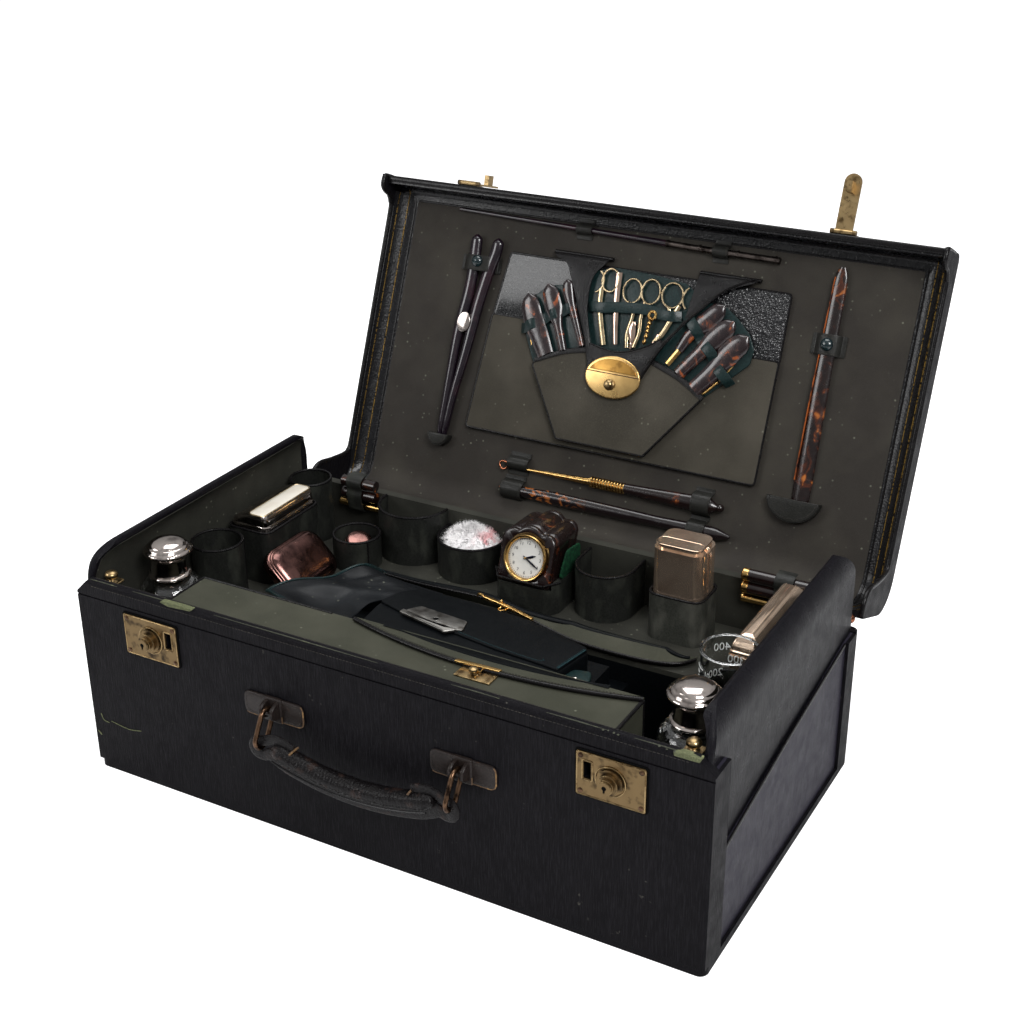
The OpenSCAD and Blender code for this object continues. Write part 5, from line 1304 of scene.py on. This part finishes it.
def lid_path():
    """The lid's inner section from the front lip to the back foot: (y, z, inward normal)."""
    out = []
    r = 28 - 5
    cy, cz = LID_Y1 - 28, LID_TOP - 28
    for a in range(180, 89, -15):
        q = radians(a)
        c, d = cos(q), sin(q)
        out.append((LID_Y0 + 11 + 6 * c, LID_Z - 6 + 6 * d, (-c, -d)))
    for k in range(1, 24):
        y = -124 + (cy + 124) * k / 24
        out.append((y, LID_Z, (0, -1)))
    for a in range(90, -1, -9):
        q = radians(a)
        c, d = cos(q), sin(q)
        out.append((cy + r * c, cz + r * d, (-c, -d)))
    for k in range(1, 6):
        out.append((cy + r, cz + (LID_FOOT - cz) * k / 5, (-1, 0)))
    return out


def across_lid(x, y, z, n, thick):
    """A slice of lining from one side of the lid to the other."""
    y1, z1 = y + n[0] * thick, z + n[1] * thick
    return [(-x, y, z), (-x, y1, z1), (x, y1, z1), (x, y, z)]


def on_border(s, y, z, n, angle):
    """A point of the lid's rolled border, thinner down the back, which closes over the end wall."""
    q = radians(angle)
    d = (BORDER_R - BORDER_R * cos(q)) * (n[1] ** 2 if y > 0 else 1.0) + 0.1
    return s * (BORDER_X + BORDER_R * sin(q)), y + n[0] * d, z + n[1] * d


def lid_lining():
    """Lining, lip, rolled borders and the edge of the lid."""
    path = lid_path()
    x = FLANGE_X - 17.6
    rings = [across_lid(x, y, z, n, 0.7) for y, z, n in path[6:]]
    on_lid("lid_lining", loft(rings), OLIVE_LID)
    x = FLANGE_X - 0.3
    lip = [(-130, LIP_Z + 0.5, (1, 0)), (-130, 166, (1, 0)), (-130, 172, (1, 0))] + path[:8]
    rings = [across_lid(x, *spot, 1.3) for spot in lip[:-1]] + [across_lid(x, *lip[-1], 0.2)]
    on_lid("lid_lip_lining", loft(rings), BORDER)
    on_lid("lid_lip_edge", tube(steps((-x, LID_Y0 + 2.5, LIP_Z), (x, LID_Y0 + 2.5, LIP_Z), 12), (2.55, 1.0),
                                12), PIPING)
    seam = steps((18 - x, -119.6, LID_Z - 1.0), (x - 18, -119.6, LID_Z - 1.0), 16)
    on_lid("lid_lip_seam", tube(seam, (0.9, 0.5), 8), PIPING)
    for s, name in SIDES:
        rings, lines = [], [[], [], []]
        for y, z, n in path[1:]:
            ring = [on_border(s, y, z, n, 70.5 * k / 8) for k in range(9)]
            rings.append([(s * FLANGE_X, y, z)] + ring + [(s * FLANGE_X, *ring[-1][1:])])
            for line, q in zip(lines, (9, 30, 58)):
                line.append(on_border(s, y, z, n, q))
        rep = ["lid_borders"] if s < 0 else []
        on_lid(f"lid_border_{name}", loft(rings), BORDER, rep=rep)
        bead = tube(lines[0], 0.8, 8, up=(1, 0, 0.01))
        on_lid(f"lid_border_bead_{name}", bead, PIPING)
        on_lid(f"lid_border_tooling_{name}", join(*[tube(v, 0.42, 6, up=(1, 0, 0.01)) for v in lines[1:]]),
               TOOLING)
        f, b = FLANGE_Z, LIP_Z - 5
        edge = [(LID_Y0 + 0.8, 176), (LID_Y0 + 0.6, b + 5), (LID_Y0 + 1.8, b + 1.2), (LID_Y0 + 5, b + 0.3),
                (LID_Y0 + 9.5, b + 0.8), (LID_Y0 + 13, b + 5), (LID_Y0 + 15, f - 7), (LID_Y0 + 20.5, f - 2.2),
                (LID_Y0 + 28, f - 0.2), (-60, f - 0.2), (0, f - 0.2), (60, f - 0.2), (LID_Y1 - 38, f - 0.3),
                (LID_Y1 - 30.5, f - 5.2), (LID_Y1 - 24.6, LID_FOOT + 26), (LID_Y1 - 20.6, LID_FOOT + 8.4),
                (LID_Y1 - 12.4, LID_FOOT + 0.8), (LID_Y1 - 1.5, LID_FOOT + 0.9)]
        pts = bezier([(s * 238.2, y, z) for y, z in edge], 5)
        on_lid(f"lid_flange_edge_{name}", tube(pts, (1.9, 2.0), 10, up=(1, 0, 0.01)), PIPING)


def pocket_panels():
    """The document pocket's front and its crinkled band."""
    z = LID_Z
    lower = ccw(rounded([(-134, 60), (-127.2, -36), (123.6, -36), (123, 60)][::-1], 3))
    upper = ccw(rounded([(-127.4, -34), (-120.5, -88), (123, -88), (123.6, -34)], 3))
    on_lid("document_front", plate(lower, z - 4.6, z, 1.0), OLIVE_PANEL, rep=["document_pocket"])
    on_lid("document_band", plate(upper, z - 3.6, z, 0.9), CRINKLE)
    pipe = [tube(lay(lower, z - 4.0), (0.9, 0.9), 8, loop=True),
            tube(lay(upper, z - 3.0), (0.9, 0.9), 8, loop=True)]
    on_lid("document_piping", join(*pipe), PIPING)


def signed(outline):
    """Twice an outline's area, positive where it runs counter-clockwise."""
    k = len(outline)
    return sum(outline[i - 1][0] * outline[i][1] - outline[i][0] * outline[i - 1][1] for i in range(k))


def ccw(outline):
    return outline if signed(outline) > 0 else outline[::-1]


def raised(points, h, n):
    """A smooth line at a height over the lid's lining."""
    return bezier(lay(points, LID_Z - h), n)


def blunt(least, *parts):
    """How far a rounded end has grown, from the least share up to 1."""
    return sqrt(max(least, min(1, *parts)))


def interp(table, u):
    """A value between the (place, value) rows of a table."""
    for (a, va), (b, vb) in zip(table, table[1:]):
        if u <= b:
            return va + (vb - va) * max(0, min(1, (u - a) / (b - a)))
    return table[-1][1]


def along(curve, u):
    """A point of a curve, by its share from 0 to 1."""
    k = u * (len(curve) - 1)
    i = min(int(k), len(curve) - 2)
    return curve[i].lerp(curve[i + 1], k - i)


def flap_sheet(left, right, tops, crown=0.8, thick=1.3, steps=40, across=8):
    """A leather flap between two edges; tops gives its height over the lid's lining along it."""
    a, b = bezier(lay(left, 0), 8), bezier(lay(right, 0), 8)
    rings = []
    for k in range(steps + 1):
        u = k / steps
        h = interp(tops, u)
        p, q = along(a, u), along(b, u)
        ring = []
        for lift, order in ((0, range(across + 1)), (thick, range(across, -1, -1))):
            for j in order:
                t = j / across
                c = p.lerp(q, t)
                ring.append((c.x, c.y, LID_Z - h - crown * 4 * t * (1 - t) + lift))
        rings.append(ring)
    return loft(rings)


def fan():
    """The fan-shaped wallet with its flaps and clasp."""
    z = LID_Z - 5
    back = ccw(rounded([(-80, 0), (-94, -26), (-98, -40), (-94, -52), (-84, -62), (-74, -67), (-58, -70),
                        (-44, -82), (-24, -88), (10, -87), (38, -84), (58, -72), (74, -71), (86, -63),
                        (97, -53), (103, -42), (101.8, -30), (70, 1)], 5))
    on_lid("fan_backing", plate(back, z - 1.8, z + 0.2, 0.6), GREEN, rep=["fan_wallet"])
    hexa = ccw(rounded([(-79.6, -0.4), (-76.8, -6), (-53.9, -16.6), (-34.9, -21.4), (23.7, -20.7),
                        (49.8, -11.7), (70.9, 0.5), (30, 54.8), (-47, 54.7)], 2))
    on_lid("fan_front", plate(hexa, z - 5.4, z - 1.6, 1.0, 3), OLIVE_PANEL)
    pts = lay(hexa, z - 4.4)
    on_lid("fan_piping", tube(pts, (1.1, 1.1), 8, loop=True), PIPING)
    bind = []
    for pts in ([(-78, -4.4), (-53.6, -14.8), (-33, -19.6)], [(24, -18.8), (49.2, -9.8), (70.2, 2.2)]):
        bind.append(tube(bezier(lay(pts, z - 5.5), 6), (1.9, 0.45), 8, square=0.5))
    on_lid("fan_binding", join(*bind), FLAP)
    row = [stitches(bezier(lay(pts, z - 6.0), 6), 2.0, 1.3, 0.22, (0, 0, -1)) for pts in
           ([(-78, -3.2), (-53.2, -13.4), (-33, -18.4)], [(24, -17.6), (48.8, -8.6), (69.4, 3.4)])]
    on_lid("fan_stitching", join(*row), THREAD)
    # Two flaps fold over the pocket's top and meet in the leather under the clasp
    tops = [(0, 2.0), (0.03, 5.2), (0.12, 7.6), (0.4, 10.6), (0.72, 12.4), (1, 12.6)]
    one = flap_sheet([(-80, -95), (-77, -90.5), (-66, -86), (-60, -76), (-53.7, -64.6), (-45, -46),
                      (-36.7, -27.9), (-31, -10)],
                     [(-30, -95), (-33, -89), (-38.3, -82), (-40.9, -71.5), (-39.4, -52),
                      (-31.4, -25.3), (-29.5, -10)], tops)
    two = flap_sheet([(47.5, -95.4), (45.5, -73.8), (42.5, -53.6), (29.8, -36.6), (18.1, -23.1), (13, -12)],
                     [(97, -95.4), (92, -91), (71.8, -82.5), (56, -65.5), (43.2, -50.3),
                      (29.4, -29.9), (17.6, -8)], tops)
    yoke = ccw(rounded([(-31.6, -26), (-22, -23.4), (-12, -22.6), (0.6, -23.8), (10, -26.8), (17, -30.6),
                        (29, -38.6), (29.4, -29.9), (17.4, -4), (-30.5, -4)], 1.5, 3))
    on_lid("fan_flaps", join(one, two, plate(yoke, z - 8.4, z - 5.0, 0.8, 3)), FLAP)
    folds = [tube(steps((x0, -94.4, LID_Z - 2.2), (x1, -94.4, LID_Z - 2.2), 8), (1.6, 3.0), 12)
             for x0, x1 in ((-80.5, -28.5), (47, 97))]
    on_lid("fan_flap_folds", join(*folds), FLAP)
    edge = bezier([(93, -95.2, LID_Z - 6.6), (71.8, -82.5, LID_Z - 10.2), (56, -65.5, LID_Z - 11.6),
                   (43.2, -50.3, LID_Z - 12.8), (29.4, -29.9, LID_Z - 13.6), (17.8, -8, LID_Z - 13.8)], 8)
    arc = bezier([(-31.2, -25.4, z - 8.3), (-12, -22.2, z - 8.5), (0.6, -23.4, z - 8.5),
                  (16.4, -29.8, z - 8.5), (28.6, -37.8, z - 8.4)], 8)
    on_lid("fan_flap_edges", join(tube(edge, 0.9, 8), tube(arc, 0.6, 8)), PIPING)
    rows = [stitches(beside(edge[2:], -1.6, 0.4, -0.4), 1.9, 1.2, 0.22, (0, 0, -1)),
            stitches(beside(arc, 0.2, 1.7, -0.3), 1.9, 1.2, 0.22, (0, 0, -1))]
    on_lid("fan_flap_stitching", join(*rows), THREAD)
    oval = ellipse(-6, -1.8, 24, 17, range(0, 360, 6))
    on_lid("fan_clasp", plate(oval, z - 9.6, z - 6.6, 1.3, 4), SATIN)
    upper = [p for p in offset(oval, 2.6) if p[1] < -5.6]
    on_lid("fan_clasp_upper", plate(ccw([tuple(p) for p in upper]), z - 10.5, z - 9.4, 0.3, 2), BRUSHED)
    on_lid("fan_clasp_lines", tube([(-29.2, -4.6, z - 10.0), (17.2, -4.4, z - 10.0)], 0.45, 6), BRONZE)
    knob = lathe([(0, 4.2), (2.0, 4.0), (3.4, 3.2), (4.0, 2.0), (3.6, 1.0), (4.4, 0.6), (4.6, 0)], 32)
    on_lid("fan_clasp_knob", moved(knob, at(-7.2, 4.3, z - 9.8) @ rot("X", 180)), EDGE)


def handle(points, widths, h=9.7, thick=2.6, n=14):
    """A flat tool in the lid along points, with its half widths (place, value)."""
    path = raised(points, h, 8)

    def size(u):
        end = blunt(0.02, u * 14)
        return interp(widths, u) * end, thick * (0.5 + 0.5 * end)

    return tube(path, size, n, square=0.85)


def fan_tools():
    """Manicure tools in the fan wallet and the bands that hold them."""
    shells = [
        handle([(-94.5, -57), (-86.7, -37.6), (-78, -24), (-69.5, -10)],
               [(0, 5.5), (0.18, 8.4), (0.4, 9.2), (1, 7.4)]),
        handle([(-78.5, -67), (-69.8, -48.7), (-62, -32), (-55, -16)],
               [(0, 5), (0.15, 7.4), (0.35, 7.8), (0.52, 5.2), (0.62, 4.0), (1, 3.6)]),
        handle([(-62, -73), (-58.2, -60), (-49, -42), (-39, -22)],
               [(0, 3.2), (0.12, 4.8), (0.3, 5.0), (0.5, 3.8), (1, 2.5)]),
        handle([(74, -71.5), (62, -57), (50.6, -45.1), (44, -32)],
               [(0, 5), (0.16, 7.6), (0.4, 8.2), (0.58, 5.0), (1, 3.8)]),
        handle([(84.5, -60.5), (72, -46), (58, -28), (47, -13.6)],
               [(0, 5), (0.16, 8.0), (0.38, 8.4), (0.55, 5.8), (1, 5.2)]),
        handle([(97.5, -51), (86, -36.5), (74, -19), (62, -4)],
               [(0, 5), (0.16, 8.6), (0.4, 9.2), (0.6, 7.4), (1, 6.8)])]
    on_lid("fan_shell_handles", join(*shells), HANDLES, rep=["manicure_tools"])
    wires = []
    for x, y, ra, rb in ((-24.8, -77.4, 7.2, 9.2), (-4.6, -71.8, 7.8, 9.6), (11.2, -73.3, 7.8, 9.8),
                         (29.7, -73.1, 8.8, 9.8)):
        wires.append(tube(lay(ellipse(x, y, ra, rb, range(0, 360, 12)), LID_Z - 9.2), 0.85, 8, loop=True))
    for x, y, a0, a1 in ((-38.6, -75.4, -60, 75), (46.5, -72.4, 120, 250)):
        wires.append(tube(lay(ellipse(x, y, 8, 9.4, range(a0, a1 + 1, 12)), LID_Z - 9.0), 0.85, 8))
    legs = [([(-31.6, -70), (-30.6, -58), (-27, -44), (-21, -26)], 2.3),
            ([(-1.2, -62.6), (-0.6, -52), (-2.6, -38), (-1.0, -27)], 1.6),
            ([(7.6, -64.4), (6.6, -52), (7.4, -40), (5.0, -28)], 1.6),
            ([(37, -66), (33, -56), (28, -44), (23, -36)], 2.2),
            ([(28, -63.4), (31, -56), (27, -44), (21, -35)], 1.4)]
    for points, w in legs:
        wires.append(tube(raised(points, 9.0, 6), (w, 1.0), 8))
    on_lid("fan_scissors", join(*wires), PALE_GILT)
    blades = [tube(raised(line, 9.0, 6), size, 8) for line, size in (
        ([(-18.6, -84.5), (-17.2, -66), (-14.4, -46), (-10.9, -28)],
         lambda u: (2.9 - 0.9 * u, 0.9)),
        ([(1.6, -48), (1.0, -42), (2.4, -34), (2.8, -26.4)],
         lambda u: (1.4 + 2.2 * sin(pi * min(u * 1.3, 1)), 1.3)),
        ([(24.6, -41), (22, -36), (19.4, -31.6)],
         lambda u: (2.0 - 1.4 * u, 0.8)))]
    on_lid("fan_steel_tools", join(*blades), ROSE)
    ring = lay(ellipse(17, -55.2, 2.9, 3.1, range(0, 360, 20)), LID_Z - 11.6)
    twist = bezier([(16.4, -52, LID_Z - 11.4), (15.2, -46, LID_Z - 11), (14.8, -40, LID_Z - 10.6),
                    (13.4, -31.6, LID_Z - 10)], 12)
    pick = [tube(ring, 1.15, 8, loop=True), tube(twist, lambda u: 1.9 + 0.5 * cos(34 * u) - 0.7 * u, 10)]
    slim = [tube(raised(line, 8.8, 5), (w, 0.8), 8) for line, w in (
        ([(45, -34), (40, -26), (36, -19.6)], 2.4), ([(-84, -16), (-92, -36), (-94, -44)], 0.7),
        ([(97, -40), (88, -25), (81, -14)], 0.8), ([(80, -13), (72, -4), (68, -1)], 1.0))]
    on_lid("fan_gilt_tools", join(*pick, *slim), GILT)
    bands = []
    for line in ([(-97, -28, 6), (-92, -29, 10), (-86, -33, 12.6), (-79, -36, 9.6), (-75, -40, 9.4),
                  (-68, -44, 12.4), (-62, -47, 9.4), (-56, -50, 11.8), (-49, -52, 8)],
                 [(-40, -54, 7.4), (-36, -55, 9.6), (-27, -55, 11.4), (-16, -57, 11), (-6, -58, 10.8),
                  (6, -59, 10.8), (16, -58.4, 10.6), (25, -57, 10.8), (34, -57, 11), (40, -58, 8)],
                 [(42, -62, 7), (49, -56, 11.6), (56, -49, 12.6), (60, -43, 9.4), (66, -38, 12.4),
                  (72, -33, 12.6), (75, -27, 9.6), (80, -22, 12.6), (87, -16, 12), (90, -12, 7)]):
        pts = bezier([(x, y, LID_Z - h) for x, y, h in line], 5)
        bands.append(tube(pts, (4.3, 0.6), 10, up=(0, 0, 1), square=0.4))
    on_lid("fan_bands", join(*bands), GREEN)


def loop_over(x, y, span, tall, half, across=True):
    """A leather loop over a tool: span is half the width it stands over, half is half its own width."""
    line = [(-span - 4, 1.1), (-span - 0.6, 1.5), (-span * 0.92, tall * 0.55), (-span * 0.6, tall * 0.95),
            (0, tall + 0.9), (span * 0.6, tall * 0.95), (span * 0.92, tall * 0.55), (span + 0.6, 1.5),
            (span + 4, 1.1)]
    if across:
        pts = bezier([(x, y + d, LID_Z - h) for d, h in line], 5)
    else:
        pts = bezier([(x + d, y, LID_Z - h) for d, h in line], 5)
    shape = tube(pts, (half, 0.6), 12, up=(0, 0, 1), square=0.35)
    sides = []
    for s in (-1, 1):
        shift = Vector((s * (half - 1.2), 0, 0)) if across else Vector((0, s * (half - 1.2), 0))
        row = [p + shift + Vector((0, 0, -0.75)) for p in pts[3:-3]]
        sides.append(stitches(row, 1.9, 1.2, 0.2, (0, 0, -1)))
    return shape, sides


def lid_tool_set():
    """The long tools of the lid and their loops."""
    z = LID_Z - 0.8
    # Glove stretchers: two tapered arms, joined where the plaque is
    arms = []
    for line in ([(-153.9, -98.5), (-153.2, -86), (-152.4, -67), (-152.9, -49), (-155.2, -27.5),
                  (-156.4, -2.4), (-156.6, 40.6), (-156.4, 76)],
                 [(-133.2, -97.5), (-133.8, -86), (-137.6, -69), (-141.6, -44), (-143.6, -24), (-146.2, 3),
                  (-150.6, 39.5), (-152.6, 75)]):
        path = bezier(lay(line, z - 4.3), 8)
        widths = [(0, 5.0), (0.2, 5.3), (0.45, 5.2), (0.62, 4.9), (0.8, 3.8), (0.95, 2.9), (1, 1.6)]
        arms.append(tube(path, lambda u: (interp(widths, u) * blunt(0.05, u * 22),
                                          3.6 * blunt(0.1, u * 22, (1 - u) * 20)), 16))
    start, end = Vector((-176, -117.4, z - 2.2)), Vector((14.8, -112.9, z - 2.9))
    arms.append(tube([start.lerp(end, k / 24) for k in range(25)], lambda u: 1.2 + 1.5 * u, 12))
    on_lid("lid_dark_horn", join(*arms), PURPLE, rep=["lid_tools"])
    ferrule = tube([(14, -112.9, z - 3), (40, -112.2, z - 3), (109, -111.6, z - 3)], 2.7, 14)
    rings = []
    for x in (15, 42, 74, 105):
        y = -112.8 + (x - 15) * 0.013
        rings.append(tube([(x, y, z - 3), (x + 1.4, y, z - 3)], 3.15, 14))
    on_lid("stick_ferrule", join(ferrule, *rings), GUNMETAL)
    oval = ellipse(-150.5, -25, 6.2, 8.4, range(0, 360, 12))
    on_lid("stretcher_plaque", plate(oval, z - 9.0, z - 6.9, 0.6), SILVER)
    # Shoehorn: a long blade with a rounded top
    rings, brim = [], []
    for k in range(49):
        u = k / 48
        y = -113.5 + 186 * u
        w = interp([(0, 2.2), (0.015, 4.0), (0.05, 5.3), (0.3, 5.9), (0.5, 6.6), (0.9, 7.2), (1, 6.6)], u)
        x = interp([(0, 158.6), (0.5, 159.4), (1, 160.4)], u)
        lift = 1.0 * sin(pi * u)
        ring = []
        for j in range(16):
            q = 2 * pi * j / 16
            cx = w * cos(q)
            ring.append((x + cx, y, z - 2.6 - lift - 1.5 * sin(q) + 0.03 * cx * cx * u))
        rings.append(ring)
        brim.append(Vector((x - w + 0.5, y, z - 3.4 - lift)))
    on_lid("shoehorn", loft(rings), SHELL_LIGHT)
    on_lid("shoehorn_edge", tube(brim[2:-6], (0.6, 0.8), 8), AMBER)
    sizes = [(0, 4.4), (0.3, 5.2), (0.85, 6.9), (1, 6.0)]
    shell = [tube(steps((18, 83.2, z - 4.4), (98, 82.6, z - 4.4), 24),
                  lambda u: (interp(sizes, u) * blunt(0.1, (1 - u) * 12),
                             4.4 * blunt(0.1, (1 - u) * 12)), 16),
             ball((100, 82.4, z - 4.2), 3.2, 10)]
    on_lid("buttonhook_handle", join(*shell), SHELL)
    sizes = [(0, 2.6), (0.05, 3.8), (0.25, 5.6), (0.5, 5.2), (0.7, 4.6), (0.93, 5.6), (1, 4.2)]
    bar = tube(steps((-92, 103.6, z - 4.2), (112, 103.0, z - 4.2), 40),
               lambda u: (interp(sizes, u) * blunt(0.12, u * 14, (1 - u) * 18),
                          4.2 * blunt(0.12, u * 14, (1 - u) * 18)), 16)
    on_lid("second_tool", bar, MOTTLED)
    hook = bezier([(-72, 85, z - 4), (-84, 84.6, z - 4), (-90.6, 82.4, z - 4), (-94.4, 82.4, z - 4),
                   (-95.6, 85, z - 4), (-93.6, 88, z - 4), (-90.4, 88.2, z - 4), (-88.6, 86.4, z - 4)], 7)
    on_lid("buttonhook_hook", tube(hook, 0.9, 10), COPPER)
    shaft = tube(steps((-72, 85, z - 4.2), (-12, 83.6, z - 4.2), 12), lambda u: 1.0 + 2.0 * u, 12)
    coil = [(-12 + 31 * k / 220, 83.4 + 3.9 * cos(k * 0.34), z - 4.2 + 3.9 * sin(k * 0.34))
            for k in range(221)]
    core = tube([(-13, 83.4, z - 4.2), (19, 83.4, z - 4.2)], 3.3, 12)
    on_lid("buttonhook_shaft", join(shaft, core, tube(coil, 0.9, 8, up=(1, 0, 0.01))), GILT)
    loops, rows = [], []
    for x, y, span, tall, half, flat in (
            (-58, -115, 4.2, 5.6, 7, True), (60.5, -112.4, 4.6, 6.2, 6.5, True),
            (-79, 81.6, 5.2, 6.4, 9.4, True), (84.5, 82, 8.6, 9.6, 7.8, True),
            (-80, 103.4, 7.4, 8.4, 9.6, True), (84, 103.2, 7.2, 9.2, 7.4, True),
            (-147, -75, 14.4, 9.2, 6.4, False), (158.6, -54.9, 9.4, 6.0, 8.0, False)):
        shape, sides = loop_over(x, y, span, tall, half, flat)
        loops.append(shape)
        rows += sides
    for x, y, r, s, t in ((156.5, 64, 20.5, 17, 7.6), (-156.6, 70.5, 9.5, 9.5, 8.6)):
        disc = ellipse(x, y, r, s, range(0, 181, 10))
        loops.append(plate(ccw(disc), LID_Z - t - 1.2, LID_Z - t + 0.4, 0.6))
        loops.append(tube(lay(disc, LID_Z - t * 0.55), (0.8, t * 0.5), 8, square=0.5))
        row = [(x + (p[0] - x) * 0.9, y + (p[1] - y) * 0.88, LID_Z - t - 1.3) for p in disc]
        rows.append(stitches(row, 1.9, 1.2, 0.2, (0, 0, -1)))
    on_lid("tool_loops", join(*loops), LOOPS, rep=["tool_straps"])
    on_lid("tool_loop_stitching", join(*rows), THREAD)
    studs = []
    for x, y, h in ((-147.2, -76.3, 10.6), (158.6, -54.9, 7.6)):
        studs.append(moved(lathe([(0, 3.0), (2.2, 2.7), (4.0, 1.8), (4.9, 0.6), (4.9, 0)], 28),
                           at(x, y, LID_Z - h) @ rot("X", 180)))
    on_lid("strap_studs", join(*studs), GREEN_STUD)


front_details()
for side in SIDES:
    end_details(*side)
pocket_details()
compartment_details()
lock_details()
handle_details()
fittings()
clock_details()
puff()
brush()
wallet()
pouch()
vanity()
lid_lining()
pocket_panels()
fan()
fan_tools()
lid_tool_set()


# Floor, light and camera
def studio():
    """White floor, tent of light, three lamps and the photo's camera."""
    mesh = bpy.data.meshes.new("floor")
    mesh.from_pydata([(-6, -6, -0.0003), (6, -6, -0.0003), (6, 6, -0.0003), (-6, 6, -0.0003)], [],
                     [(0, 1, 2, 3)])
    floor = bpy.data.objects.new("floor", mesh)
    scene.collection.objects.link(floor)
    look = bpy.data.materials.new("studio_floor")
    look.use_nodes = True
    nt = look.node_tree
    b = next(n for n in nt.nodes if n.type == "BSDF_PRINCIPLED")
    b.inputs["Base Color"].default_value = (0.85, 0.85, 0.86, 1)
    b.inputs["Roughness"].default_value = 0.9
    b.inputs["Specular IOR Level"].default_value = 0.0
    b.inputs["Emission Color"].default_value = (1, 1, 1, 1)
    nt.links.new(seen(nt, 0.7), b.inputs["Emission Strength"])
    mesh.materials.append(look)
    world = bpy.data.worlds.new("studio")
    world.use_nodes = True
    nt = world.node_tree
    back = next(n for n in nt.nodes if n.type == "BACKGROUND")
    back.inputs["Color"].default_value = (1, 1, 1, 1)
    # A tent that is bright overhead and dimmer at the sides, white where it is seen directly
    coord = nt.nodes.new("ShaderNodeTexCoord")
    split = nt.nodes.new("ShaderNodeSeparateXYZ")
    nt.links.new(coord.outputs["Generated"], split.inputs[0])
    tent = nt.nodes.new("ShaderNodeMapRange")
    nt.links.new(split.outputs["Z"], tent.inputs[0])
    for i, v in enumerate((0.05, 0.85, 0.14, 0.5)):
        tent.inputs[i + 1].default_value = v
    top = nt.nodes.new("ShaderNodeMath")
    top.operation = "MAXIMUM"
    nt.links.new(seen(nt, 1.0), top.inputs[0])
    nt.links.new(tent.outputs[0], top.inputs[1])
    nt.links.new(top.outputs[0], back.inputs["Strength"])
    scene.world = world
    for name, spot, power, size in (("key", (1.2, -0.9, 1.6), 28, 0.8), ("fill", (-1.3, -1.2, 1.1), 10, 0.8),
                                    ("top", (-0.2, 0.4, 1.9), 18, 1.2)):
        lamp = bpy.data.lights.new(name, "AREA")
        lamp.energy = power
        lamp.size = size
        obj = bpy.data.objects.new(name, lamp)
        obj.location = spot
        obj.rotation_euler = (Vector((0, 0, 0.1)) - Vector(spot)).to_track_quat("-Z", "Y").to_euler()
        scene.collection.objects.link(obj)
    cam = bpy.data.cameras.new("photo_view")
    cam.lens = 56.68
    cam.sensor_width = 36
    cam.clip_start = 0.05
    cam.clip_end = 50
    view = bpy.data.objects.new("photo_view", cam)
    forward = Vector((-0.4430, 0.7873, -0.4288)).normalized()
    right = Vector((0.8733, 0.4871, -0.0077))
    right = (right - forward * right.dot(forward)).normalized()
    up = right.cross(forward)
    m = Matrix((right, up, -forward)).transposed().to_4x4()
    m.translation = Vector((513.0, -850.9, 674.6)) * MM
    view.matrix_world = m
    scene.collection.objects.link(view)
    scene.camera = view
    scene.view_settings.view_transform = "Standard"


def seen(nt, strength):
    """A strength for what the camera sees, by itself and through glass, and none for all else."""
    path = nt.nodes.new("ShaderNodeLightPath")
    both = nt.nodes.new("ShaderNodeMath")
    both.operation = "MAXIMUM"
    feed(nt, both.inputs[0], path.outputs["Is Camera Ray"])
    feed(nt, both.inputs[1], path.outputs["Is Transmission Ray"])
    level = nt.nodes.new("ShaderNodeMapRange")
    feed(nt, level.inputs[0], both.outputs[0])
    level.inputs["To Max"].default_value = strength
    return level.outputs[0]


studio()
